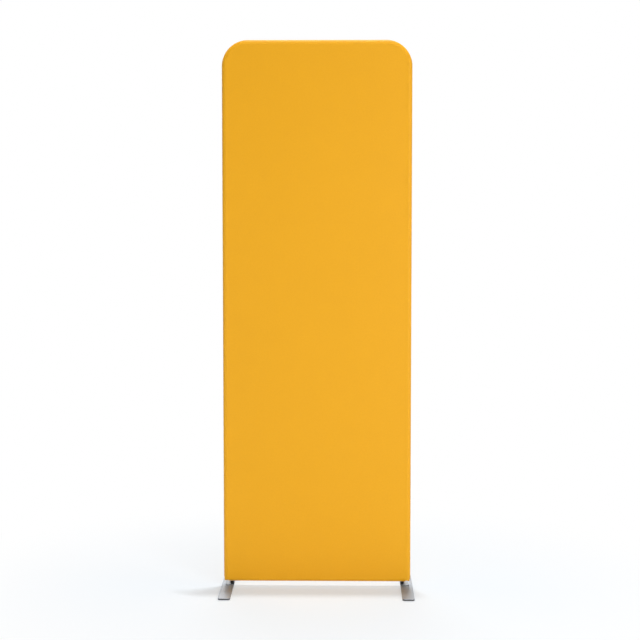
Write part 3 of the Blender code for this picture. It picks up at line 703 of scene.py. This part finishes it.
def build_surface():
    points, cut, faces = [], [], []

    def add(x, z, out_x, out_z, angle, height):
        along = min(angle, math.pi - angle) * reach
        points.append(cloth_point(x, z, out_x, out_z, angle, height))
        cut.append((x + out_x * along, z + out_z * along))
        return len(points) - 1

    grids = {}
    for angle in (0.0, math.pi):
        grid = []
        for z, turn in rows:
            line = []
            for i in range(len(columns)):
                x = column_x(i, turn)
                height = face_height(x, z) + (hem_height(x, z) if angle else 0)
                line.append(add(x, z, 0, 0, angle, height))
            grid.append(line)
        for lower, upper in zip(grid, grid[1:]):
            faces.extend(zip(lower, lower[1:], upper[1:], upper))
        grids[angle] = grid

    border = border_points()
    angles = [from_face / reach for from_face in WRAP_PLACES]
    angles += [math.pi - a for a in reversed(angles)]
    rings = [[grids[0.0][j][i] for j, i, _, _ in border]]
    for angle in angles:
        ring = []
        for j, i, out_x, out_z in border:
            z, turn = rows[j]
            x = column_x(i, turn)
            height = edge_height(angle, z, z + abs(x)) if out_z >= 0 else 0
            ring.append(add(x, z, out_x, out_z, angle, height))
        rings.append(ring)
    rings.append([grids[math.pi][j][i] for j, i, _, _ in border])
    for near, far in zip(rings, rings[1:]):
        faces.extend(zip(near, far, far[1:] + far[:1], near[1:] + near[:1]))
    return points, cut, faces


surface_points, surface_cut, surface_faces = build_surface()
print("surface of", len(surface_faces), "faces")

# %% [markdown]
# The panels part at the seam. The front panel runs under the bottom rail and a little way up the back, as
# far as the zip, and the back panel is what is above that. Each keeps its own faces, loses those in the
# zip's slot and gets the cloth's thickness inwards. The holes for the necks are cut last, through the
# finished cloth.

# %% Cut the two panels out of it
CLOTH_THICKNESS = 0.5 * MM
NECK_RADIUS = 11 * MM
NECK_EASE = 0.6 * MM
HOLE_BELOW, HOLE_ABOVE = 4 * MM, 9 * MM
CLOTH_ANGLE = math.radians(60)
cover_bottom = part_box("cover_front_panel")[0].z


def panel_faces(is_back):
    """The faces of one panel. Those in the seam's gap and in the zip's slot belong to neither."""
    kept = []
    for face in surface_faces:
        x, y, z = (sum(surface_points[p][axis] for p in face) / len(face) for axis in range(3))
        in_slot = y > 0 and abs(z - zip_z) < SLOT_HALF and abs(x) < slot_end
        in_gap = (abs(y) < SEAM_HALF and z > zip_z) or (y > 0 and abs(z - zip_z) < SEAM_HALF)
        if not in_slot and not in_gap and (y > 0 and z > zip_z) == is_back:
            kept.append(face)
    return kept


def make_panel(name, is_back):
    mesh = bpy.data.meshes.new(name)
    mesh.from_pydata(surface_points, [], surface_faces)
    cut_map = mesh.uv_layers.new(name="cut")
    for loop in mesh.loops:
        cut_map.data[loop.index].uv = surface_cut[loop.vertex_index]
    shape = bmesh.new()
    shape.from_mesh(mesh)
    bmesh.ops.recalc_face_normals(shape, faces=shape.faces)
    kept = {frozenset(face) for face in panel_faces(is_back)}
    dropped = [f for f in shape.faces if frozenset(v.index for v in f.verts) not in kept]
    bmesh.ops.delete(shape, geom=dropped, context="FACES")
    shape.to_mesh(mesh)
    shape.free()
    panel = add_object(name, mesh)
    thicken(panel, CLOTH_THICKNESS)
    return panel


front_panel = make_panel("cover_front_cloth", False)
back_panel = make_panel("cover_back_cloth", True)
for sign in SIDES.values():
    start = (sign * post_x, 0, cover_bottom - HOLE_BELOW)
    end = (sign * post_x, 0, cover_bottom + HOLE_ABOVE)
    combine(front_panel, add_rod(start, end, NECK_RADIUS + NECK_EASE, LARGE_SIDES))
for face, panel in {"front": front_panel, "back": back_panel}.items():
    node = f"cover_{face}_panel"
    hand_over(panel, f"cover_{face}_cloth", "frame", knit_cloth, [node], CLOTH_ANGLE)

# %% [markdown]
# Each neck's hole has its edge bound with a narrow strip of the same cloth, which looks like a cord round
# the hole. It follows the saddle that a round hole makes in a round tube, so its line is worked out and
# swept with a round section.

# %% Bound edges of the neck holes
BINDING_RADIUS = 0.9 * MM
BINDING_POINTS = 48


def sweep(name, points, radius, closed, resolution):
    """A round cord along the points, as a mesh."""
    curve = bpy.data.curves.new(name, "CURVE")
    curve.dimensions = "3D"
    spline = curve.splines.new("POLY")
    spline.points.add(len(points) - 1)
    for knot, point in zip(spline.points, points):
        knot.co = (*point, 1)
    spline.use_cyclic_u = closed
    curve.bevel_depth = radius
    curve.bevel_resolution = resolution
    curve.use_fill_caps = not closed
    only(add_object(name, curve))
    bpy.ops.object.convert(target="MESH")
    made = bpy.context.object
    in_mode("EDIT")
    bpy.ops.mesh.select_all(action="SELECT")
    bpy.ops.mesh.remove_doubles(threshold=WELD)
    bpy.ops.mesh.normals_make_consistent(inside=False)
    return made


for side, sign in SIDES.items():
    ring_radius = NECK_RADIUS + NECK_EASE + BINDING_RADIUS / 2
    line = []
    for i in range(BINDING_POINTS):
        turn = 2 * math.pi * i / BINDING_POINTS
        x, y = ring_radius * math.cos(turn), ring_radius * math.sin(turn)
        drop = math.sqrt((reach - CLOTH_THICKNESS / 2) ** 2 - y * y)
        corner_lift = CORNER_ROUND_SHARE * (1 - math.sqrt(0.5)) * drop
        lift = corner_lift * max(0.0, sign * x) / (drop - corner_lift)
        line.append((sign * post_x + x, y, rail_z - drop + lift))
    binding = sweep(f"neck_hole_binding_{side}", line, BINDING_RADIUS, True, 3)
    hand_over(binding, f"neck_hole_binding_{side}", "frame", knit_cloth)

# %% [markdown]
# ## The zip
#
# The cover opens along the bottom of its back. The tapes are narrow woven cloth, so they are grids with a
# raised cord near the teeth and a thickness. They run on under the cloth a little way past both ends of
# the slot, and they part round the slider's wedge. The teeth of such a zip are one long coil on each
# tape, and the two coils mesh half a turn apart. A coil is a helix, worked out point by point and swept
# with a thin wire.

# %% Zip tapes
TAPE_THICKNESS = 0.5 * MM
TAPE_CORD_HEIGHT = 0.12 * MM
TAPE_STEPS = (170, 8)
TAPE_TUCK = 5 * MM
tape_end = slot_end + TAPE_TUCK
TAPE_PARTING = 1.1 * MM
PARTING_STEPS = 1.1  # grid steps on each side of the wedge
INNER_SHARE = 0.1
CORD_LOW, CORD_HIGH = 0.3, 0.45  # shares of the width, from the teeth
ZIP_SIDES = {"lower": -1, "upper": 1}
WEDGE_RADIUS = 0.9 * MM
wedge_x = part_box("zip_slider")[1].x - WEDGE_RADIUS


def make_tape(name, direction):
    low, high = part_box(f"zip_tape_{name}")
    deselect()
    bpy.ops.mesh.primitive_grid_add(
        x_subdivisions=TAPE_STEPS[0],
        y_subdivisions=TAPE_STEPS[1],
        size=1,
        location=(0, high.y, (low.z + high.z) / 2),
        rotation=(-math.pi / 2, 0, 0),
    )
    tape = bpy.context.object
    tape.scale = (2 * tape_end, high.z - low.z, 1)
    bpy.ops.object.transform_apply()
    inner = high.z if direction < 0 else low.z
    width = high.z - low.z
    in_mode("EDIT")
    pick(tape, "verts", lambda v: CORD_LOW < abs(v.co.z - inner) / width < CORD_HIGH)
    move(0, -TAPE_CORD_HEIGHT, 0)
    near_x, near_z = PARTING_STEPS * 2 * tape_end / TAPE_STEPS[0], INNER_SHARE * width
    pick(tape, "verts", lambda v: abs(v.co.x - wedge_x) < near_x and abs(v.co.z - inner) < near_z)
    move(0, 0, direction * TAPE_PARTING)
    thicken(tape, TAPE_THICKNESS - TAPE_CORD_HEIGHT)
    hand_over(tape, f"zip_tape_{name}_woven", "frame", zip_tape_weave, [f"zip_tape_{name}"])
    return tape, (2 * tape_end, width), (low.z if direction < 0 else high.z)


tapes = {name: make_tape(name, direction) for name, direction in ZIP_SIDES.items()}

# %% Zip coils
COIL_PITCH = 1.35 * MM
COIL_WIRE = 0.3 * MM
COIL_POINTS = 8
COIL_MESH = 0.4 * MM


def make_coil(name, direction):
    low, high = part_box(f"zip_coil_{name}")
    near, far = (high.z, low.z) if direction < 0 else (low.z, high.z)
    near -= direction * COIL_MESH
    centre_y, centre_z = (low.y + high.y) / 2, (near + far) / 2
    half_y, half_z = (high.y - low.y) / 2 - COIL_WIRE, abs(near - far) / 2 - COIL_WIRE
    start = low.x + COIL_WIRE + (COIL_PITCH / 2 if direction > 0 else 0)
    turns = int((high.x - COIL_WIRE - start) / COIL_PITCH)
    line = []
    for i in range(turns * COIL_POINTS + 1):
        turn = 2 * math.pi * i / COIL_POINTS
        x = start + COIL_PITCH * i / COIL_POINTS
        line.append((x, centre_y + half_y * math.sin(turn), centre_z - direction * half_z * math.cos(turn)))
    coil = sweep(f"zip_coil_{name}_wire", line, COIL_WIRE, False, 0)
    hand_over(coil, f"zip_coil_{name}_wire", "frame", coil_nylon, [f"zip_coil_{name}"])
    return coil


coils = {name: make_coil(name, direction) for name, direction in ZIP_SIDES.items()}

# %% [markdown]
# When the slider runs along, the coils part and the tapes fold back under the cloth. Here each tape and
# its coil only get a mesh of their own.

# %% Give the tapes and coils their own meshes
for name, (tape, size, sewn_z) in tapes.items():
    for piece in (tape, coils[name]):
        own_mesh(piece)
print("zip tapes are", [round(x / MM, 1) for x in size], "mm flat")

# %% [markdown]
# The slider is a small casting: a shaped plate over the coils and one under the tapes, joined by a wedge
# that parts the teeth. It is wider at the end where the coils part. A bridge on top holds the pull tab.
# The plates start as blocks, their ends are rounded and drawn in, and the parts are united.

# %% Zip slider
SLIDER_PLATE = 1.2 * MM
SLIDER_CORNER = 2.4 * MM
SLIDER_TAPER_SHARE = 0.93
SLIDER_LIP = 0.9 * MM
SLIDER_PLAY = 0.4 * MM
BRIDGE_LENGTH = 7 * MM
BRIDGE_WIRE = 0.6 * MM
BRIDGE_RISE = 2.7 * MM
BRIDGE_STEPS = 12
BRIDGE_SQUARE = 0.6  # 1 would make a round arch, 0 a square one
SLIDER_EDGE, LIP_EDGE = 0.25 * MM, 0.2 * MM
WEDGE_SIDES = 24
slider_low, slider_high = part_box("zip_slider")
slider_x = (slider_low.x + slider_high.x) / 2
coil_low, coil_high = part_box("zip_coil_lower")
tape_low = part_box("zip_tape_lower")[0]


def slider_plate(bottom_y, top_y):
    low = (slider_low.x, bottom_y, slider_low.z)
    high = (slider_high.x, top_y, slider_high.z)
    plate = add_block(low, high)
    round_along(plate, "y", SLIDER_CORNER, 6)
    pick(plate, "verts", lambda v: v.co.x < slider_x)
    bpy.ops.transform.resize(value=(1, 1, SLIDER_TAPER_SHARE), center_override=(slider_x, 0, zip_z))
    bevel_sharp(plate, SLIDER_EDGE, 2)
    return plate


def make_slider():
    plate_y = coil_high.y + SLIDER_PLAY
    under_y = tape_low.y - SLIDER_PLAY
    slider = slider_plate(plate_y, plate_y + SLIDER_PLATE)
    combine(slider, slider_plate(under_y - SLIDER_PLATE, under_y), "UNION")
    half = (slider_high.x - slider_low.x) / 2
    start = (wedge_x, under_y - SLIDER_PLATE / 2, zip_z)
    end = (wedge_x, plate_y + SLIDER_PLATE / 2, zip_z)
    combine(slider, add_rod(start, end, WEDGE_RADIUS, WEDGE_SIDES), "UNION")
    half_width_z = (slider_high.z - slider_low.z) / 2
    for direction in (-1, 1):
        outer = zip_z + direction * half_width_z * SLIDER_TAPER_SHARE
        inner = zip_z + direction * (half_width_z - SLIDER_LIP)
        low = (slider_x - half + SLIDER_CORNER, coil_low.y + SLIDER_PLAY, min(inner, outer))
        high = (slider_x + half - SLIDER_CORNER, plate_y + SLIDER_PLATE / 2, max(inner, outer))
        lip = add_block(low, high)
        bevel_sharp(lip, LIP_EDGE, 2)
        combine(slider, lip, "UNION")
    top_y = plate_y + SLIDER_PLATE
    line = []
    for i in range(BRIDGE_STEPS + 1):
        turn = math.pi * i / BRIDGE_STEPS
        flat = math.copysign(abs(math.cos(turn)) ** BRIDGE_SQUARE, math.cos(turn))
        rise = BRIDGE_RISE * math.sin(turn) ** BRIDGE_SQUARE
        line.append((slider_x + BRIDGE_LENGTH / 2 * flat, top_y - BRIDGE_WIRE + rise, zip_z))
    combine(slider, sweep("bridge", line, BRIDGE_WIRE, False, 3), "UNION")
    return slider


hand_over(make_slider(), "zip_slider_casting", "slider", zip_nickel, ["zip_slider"])

# %% [markdown]
# The pull tab is a stamped plate that hangs on the bridge by its end bar. It has an oblong hole, rounded
# corners and three low ribs for the fingers. The stop at the zip's open end is a folded metal clip.

# %% Pull tab and stop
TAB_CORNER = 2 * MM
TAB_BAR = 1.8 * MM
TAB_HOLE = (7.5 * MM, 3 * MM)
TAB_EDGE = 0.22 * MM
RIB_HEIGHT = 0.2 * MM
RIB_WIDTH = 0.9 * MM
RIB_PITCH = 2.4 * MM
RIB_START = 3.5 * MM
RIB_EDGE = 0.12 * MM
STOP_EDGE = 0.4 * MM
STOP_RIM = 0.5 * MM
STOP_DISH = 0.25 * MM


def make_tab():
    low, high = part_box("zip_pull_tab")
    tab = add_block(low, high)
    round_along(tab, "y", TAB_CORNER, 6)
    bevel_sharp(tab, TAB_EDGE, 2)
    rib_half = (high.z - low.z) / 2 - TAB_CORNER / 2
    for k in range(3):
        x = low.x + RIB_START + k * RIB_PITCH
        top = (x + RIB_WIDTH, high.y + RIB_HEIGHT, zip_z + rib_half)
        rib = add_block((x, high.y - TAB_EDGE, zip_z - rib_half), top)
        bevel_sharp(rib, RIB_EDGE, 2)
        combine(tab, rib, "UNION")
    x = high.x - TAB_BAR - TAB_HOLE[0]
    top = (x + TAB_HOLE[0], high.y + MM, zip_z + TAB_HOLE[1] / 2)
    hole = add_block((x, low.y - MM, zip_z - TAB_HOLE[1] / 2), top)
    round_along(hole, "y", TAB_HOLE[1] / 3, 4)
    return combine(tab, hole)


def make_stop():
    low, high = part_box("zip_stop")
    stop = add_block(low, high)
    bevel_sharp(stop, STOP_EDGE, 3)
    pick(stop, "faces", lambda f: f.normal.y > FACING)
    bpy.ops.mesh.inset(thickness=STOP_RIM)
    move(0, -STOP_DISH, 0)
    return stop


hand_over(make_tab(), "zip_pull_tab_plate", "pull_tab", zip_nickel, ["zip_pull_tab"])
hand_over(make_stop(), "zip_stop_clip", "frame", zip_nickel, ["zip_stop"])

# %% [markdown]
# The zip is sewn in with one row of stitches along each long side of its slot. One stitch is modelled: a
# short rod with rounded ends, pressed into the cloth. An Array modifier repeats it along the row.

# %% Stitches beside the zip
STITCH_LENGTH = 2.3 * MM
STITCH_PITCH = 3 * MM
STITCH_RADIUS = 0.3 * MM
STITCH_FROM_EDGE = 3.1 * MM
STITCH_SUNK = 0.3  # this and the next two are shares of the radius
STITCH_RIM = 0.5
STITCH_TIP = 0.6
STITCH_SIDES = 8
for name, direction in ZIP_SIDES.items():
    z = zip_z + direction * (SLOT_HALF + STITCH_FROM_EDGE)
    y = reach + HEM_HEIGHT - STITCH_RADIUS * STITCH_SUNK
    start = STITCH_PITCH - slot_end
    row = add_rod((start, y, z), (start + STITCH_LENGTH, y, z), STITCH_RADIUS, STITCH_SIDES)
    in_mode("EDIT")
    pick(row, "faces", lambda f: abs(f.normal.x) > FACING)
    bpy.ops.mesh.inset(thickness=STITCH_RADIUS * STITCH_RIM)
    for way in (1, -1):
        pick(row, "faces", lambda f: f.normal.x * way > FACING and f.calc_area() > STITCH_RADIUS**2 / 2)
        move(way * STITCH_RADIUS * STITCH_TIP, 0, 0)
    in_mode("OBJECT")
    repeat = row.modifiers.new("repeat", "ARRAY")
    repeat.count = int(2 * (slot_end - STITCH_PITCH) / STITCH_PITCH)
    repeat.use_relative_offset = False
    repeat.use_constant_offset = True
    repeat.constant_offset_displace = (STITCH_PITCH, 0, 0)
    bpy.ops.object.modifier_apply(modifier="repeat")
    hand_over(row, f"zip_stitches_{name}", "frame", sewing_thread)

# %% [markdown]
# ## The feet
#
# A foot is a length of flat steel bar. Its corners are rounded on the plan, and its top rim is rounded
# too, under the powder coat. It starts as a block: the four upright edges are rounded first, then the rim
# on top by 2 mm, and then the one below, which is only eased. A hole and a sink for the pivot bolt are
# bored last, so that their edges stay crisp.

# %% Foot plates
FOOT_CORNER = 10 * MM
FOOT_TOP_EDGE = 2 * MM
FOOT_EDGE = 0.8 * MM
BOLT_BORE = 4.3 * MM
BOLT_SINK = 8.3 * MM
BOLT_SINK_TOP = 3 * MM
for side, sign in SIDES.items():
    low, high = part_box(f"foot_plate_{side}")
    plate = add_block(low, high)
    round_along(plate, "z", FOOT_CORNER, 12)
    pick(plate, "edges", lambda e: all(v.co.z > high.z - FOOT_EDGE for v in e.verts))
    bpy.ops.mesh.bevel(offset=FOOT_TOP_EDGE, segments=5)
    pick(plate, "edges", lambda e: all(v.co.z < low.z + FOOT_EDGE for v in e.verts))
    bpy.ops.mesh.bevel(offset=FOOT_EDGE, segments=3)
    x = sign * post_x
    for top, radius in ((high.z + MM, BOLT_BORE), (low.z + BOLT_SINK_TOP, BOLT_SINK)):
        combine(plate, add_rod((x, 0, low.z - MM), (x, 0, top), radius, MEDIUM_SIDES))
    hand_over(plate, f"foot_bar_{side}", f"foot_{side}", silver_coat, [f"foot_plate_{side}"])

# %% [markdown]
# The pads are moulded discs with an eased rim. Their underside is hollowed a little inside a standing
# ring, so that they grip the floor at the ring.

# %% Foot pads
PAD_RING = 2.5 * MM
PAD_HOLLOW = 0.5 * MM
PAD_EDGE = 0.35 * MM


def make_pad(end, side):
    node = f"foot_pad_{end}_{side}"
    low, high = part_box(node)
    centre = (low + high) / 2
    radius = (high.x - low.x) / 2
    pad = add_rod((centre.x, centre.y, low.z), (centre.x, centre.y, high.z), radius, LARGE_SIDES)
    in_mode("EDIT")
    bevel_sharp(pad, PAD_EDGE, 3)
    pick(pad, "faces", lambda f: f.normal.z < -SQUARE_ON)
    bpy.ops.mesh.inset(thickness=PAD_RING)
    bpy.ops.mesh.inset(thickness=PAD_HOLLOW)
    move(0, 0, PAD_HOLLOW)
    hand_over(pad, f"{node}_rubber", f"foot_{side}", pad_rubber, [node])


for side in SIDES:
    for end in ("front", "rear"):
        make_pad(end, side)

# %% [markdown]
# ## The necks
#
# The bright neck under the cloth is the lower end of a turned piece. Above it a cone widens to a collar,
# and a spigot goes up into the tube. It is modelled as it would be turned: one cylinder, whose end face
# is drawn out and scaled again and again. The bores for the bolt, the thumb-screw and the rail's screw
# follow.

# %% Base connectors
CONE_HEIGHT = 6 * MM
COLLAR_BELOW_RAIL = 2.8 * MM
COLLAR_ABOVE_RAIL = 20 * MM
COLLAR_RADIUS = 15 * MM
SPIGOT_RADIUS = 12.7 * MM
TURNED_EDGE = 0.5 * MM
TURNED_SIDES = 96
TURNED_ANGLE = 25
STUD_BORE = 3.3 * MM
SCREW_BORE = 2.8 * MM
SCREW_SINK = 4.55 * MM
SCREW_SEAT = 9.2 * MM
PAST_BOLT = 1.5 * MM
STUD_REACH = 16 * MM
SCREW_REACH = 18 * MM
knob_z = middle("thumb_knob_left").z
for side, sign in SIDES.items():
    node = f"base_connector_{side}"
    low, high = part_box(node)
    x = sign * post_x
    collar_bottom = rail_z - COLLAR_BELOW_RAIL
    collar_top = rail_z + COLLAR_ABOVE_RAIL
    turned = add_rod((x, 0, low.z), (x, 0, collar_bottom - CONE_HEIGHT), NECK_RADIUS, TURNED_SIDES)
    in_mode("EDIT")
    pick(turned, "faces", lambda f: f.normal.z > FACING)
    radius = NECK_RADIUS
    for rise in (CONE_HEIGHT, collar_top - collar_bottom):
        bpy.ops.mesh.extrude_region_move(TRANSFORM_OT_translate={"value": (0, 0, rise)})
        share = COLLAR_RADIUS / radius
        bpy.ops.transform.resize(value=(share, share, 1), center_override=(x, 0, 0))
        radius = COLLAR_RADIUS
    bpy.ops.mesh.inset(thickness=COLLAR_RADIUS - SPIGOT_RADIUS)
    bpy.ops.mesh.extrude_region_move(TRANSFORM_OT_translate={"value": (0, 0, high.z - collar_top)})
    bevel_sharp(turned, TURNED_EDGE, 2, TURNED_ANGLE)
    bolt_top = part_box(f"pivot_bolt_{side}")[1].z + PAST_BOLT
    combine(turned, add_rod((x, 0, low.z - MM), (x, 0, bolt_top), BOLT_BORE, MEDIUM_SIDES))
    inner, outer, seat = x - sign * STUD_REACH, x + sign * SCREW_REACH, x + sign * SCREW_SEAT
    combine(turned, add_rod((x, 0, knob_z), (inner, 0, knob_z), STUD_BORE, SMALL_SIDES))
    start, end = (x - SCREW_REACH, 0, rail_z), (x + SCREW_REACH, 0, rail_z)
    combine(turned, add_rod(start, end, SCREW_BORE, SMALL_SIDES))
    combine(turned, add_rod((outer, 0, rail_z), (seat, 0, rail_z), SCREW_SINK, SMALL_SIDES))
    hand_over(turned, f"{node}_turned", "frame", satin_neck, [node])

# %% [markdown]
# ## The thumb-screws
#
# Each is a moulded grip with seven shallow lobes on a steel stud. The lobes come from moving the
# cylinder's rim in and out by a cosine. The rims are then rounded, and the outer face is dished.

# %% Thumb-screw knobs
KNOB_LOBES = 7
KNOB_LOBE_DEPTH = 0.7 * MM
KNOB_SIDES = 84
KNOB_EDGE = 1.2 * MM
KNOB_RIM = 1.6 * MM
KNOB_STEP = 0.6 * MM
KNOB_DISH = 0.5 * MM
STUD_POCKET = 8.3 * MM
for side, sign in SIDES.items():
    node = f"thumb_knob_{side}"
    low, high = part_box(node)
    radius = (high.z - low.z) / 2
    inner, outer = (high.x, low.x) if sign > 0 else (low.x, high.x)
    knob = add_rod((inner, 0, knob_z), (outer, 0, knob_z), radius, KNOB_SIDES)
    for vertex in knob.data.vertices:
        y, z = vertex.co.y, vertex.co.z - knob_z
        share = 1 - KNOB_LOBE_DEPTH / radius * (1 - math.cos(KNOB_LOBES * math.atan2(z, y))) / 2
        vertex.co.y, vertex.co.z = y * share, knob_z + z * share
    in_mode("EDIT")
    bevel_sharp(knob, KNOB_EDGE, 4)
    pick(knob, "faces", lambda f: f.normal.x * -sign > SQUARE_ON)
    bpy.ops.mesh.inset(thickness=KNOB_RIM)
    bpy.ops.mesh.inset(thickness=KNOB_STEP)
    move(sign * KNOB_DISH, 0, 0)
    start, end = (inner + sign * MM, 0, knob_z), (inner - sign * STUD_POCKET, 0, knob_z)
    combine(knob, add_rod(start, end, STUD_BORE, SMALL_SIDES))
    hand_over(knob, f"{node}_moulded", f"thumb_screw_{side}", black_nylon, [node])

# %% [markdown]
#
# Each panel is one sheet, held stretched. Its flat size is the stretch of surface that it covers: the
# face, plus a quarter turn round the tube at each seam, and on the front panel a half turn under the
# bottom rail.

# %% [markdown]
# ## Floor and light
#
# The studio is white. The floor gets real light, so it keeps the shadow, and adds a part of plain white
# where the camera or a reflection looks at it. Behind it the world is white for the same rays, and gives
# the object a soft light from all round.

# %% Floor
FLOOR_HALF = 30.0
FLOOR_WHITE_SHARE = 0.42
FLOOR_FAR_SHARE = 1.0
FLOOR_NEAR, FLOOR_FAR = 0.3, 1.8
FLOOR_DROP = 0.2 * MM


def seen_directly(tree):
    """1 for the rays of the camera, of a mirror and of glass, and 0 for those that carry light."""
    rays = add_node(tree, "LightPath").outputs
    share = rays["Is Camera Ray"]
    for kind in ("Is Glossy Ray", "Is Transmission Ray"):
        share = add_node(tree, "Math", {0: share, 1: rays[kind]}, operation="MAXIMUM").outputs[0]
    return share


deselect()
bpy.ops.mesh.primitive_plane_add(size=2 * FLOOR_HALF, location=(0, 0, -FLOOR_DROP))
bpy.ops.object.transform_apply()
floor = bpy.context.object
floor.name = "studio_floor"
studio_floor = bpy.data.materials.new("studio_floor_white")
studio_floor.use_nodes = True
tree = studio_floor.node_tree
tree.nodes.clear()
matt = add_node(tree, "BsdfDiffuse", values={"Color": linear("dfe7ee")})
white = add_node(tree, "Emission", values={"Color": (1, 1, 1, 1), "Strength": 1.0})
place = add_node(tree, "TexCoord").outputs["Object"]
away = add_node(tree, "VectorMath", {0: place}, operation="LENGTH").outputs["Value"]
span = {"From Min": FLOOR_NEAR, "From Max": FLOOR_FAR, "To Min": FLOOR_WHITE_SHARE, "To Max": FLOOR_FAR_SHARE}
fade = add_node(tree, "MapRange", {"Value": away}, span, interpolation_type="SMOOTHSTEP").outputs[0]
share = add_node(tree, "Math", {0: seen_directly(tree), 1: fade}, operation="MULTIPLY")
mixed = add_node(tree, "MixShader", {0: share.outputs[0], 1: matt.outputs[0], 2: white.outputs[0]})
add_node(tree, "OutputMaterial", {"Surface": mixed.outputs[0]})
floor.data.materials.append(studio_floor)
print("floor", 2 * FLOOR_HALF, "m wide")

# %% [markdown]
# The main light is a tall panel in front of the banner, to the right, and a weaker one above it shines
# down on the face. One at the side reaches round to the right edge, and a low strip on the left fills in
# that side. A narrow strip high overhead brightens the top edge. The large one behind sends the banner's
# soft shadow forwards over the floor.

# %% World and lamps
AMBIENT = 0.22
world = bpy.data.worlds.new("studio")
bpy.context.scene.world = world
world.use_nodes = True
tree = world.node_tree
tree.nodes.clear()
span = {"To Min": AMBIENT, "To Max": 1.0}
level = add_node(tree, "MapRange", {"Value": seen_directly(tree)}, span)
backdrop = add_node(tree, "Background", {"Strength": level.outputs[0]}, {"Color": (1, 1, 1, 1)})
add_node(tree, "OutputWorld", {"Surface": backdrop.outputs[0]})

LAMPS = {  # place, size and power in watts
    "key": ((2.1, -3.7, 1.5), (1.0, 3.2), 65),
    "top": ((0.5, -3.2, 4.8), (2.0, 1.2), 29),
    "side": ((3.6, -0.9, 1.9), (1.2, 2.4), 15),
    "left": ((-2.6, -3.6, 0.9), (2.4, 0.6), 24),
    "overhead": ((0.3, 0.5, 11.0), (0.6, 0.1), 680),
    "back": ((-0.4, 4.2, 2.6), (3.0, 3.0), 92),
}
AIM = Vector((0, 0, 1.1))
for name, (place, size, power) in LAMPS.items():
    lamp = add_object(name, bpy.data.lights.new(name, "AREA"))
    lamp.data.shape = "RECTANGLE"
    lamp.data.size, lamp.data.size_y = size
    lamp.data.energy = power
    lamp.location = place
    lamp.rotation_euler = (AIM - Vector(place)).to_track_quat("-Z", "Y").to_euler()
bpy.context.scene.view_settings.view_transform = "Standard"
print("lamps:", *LAMPS)
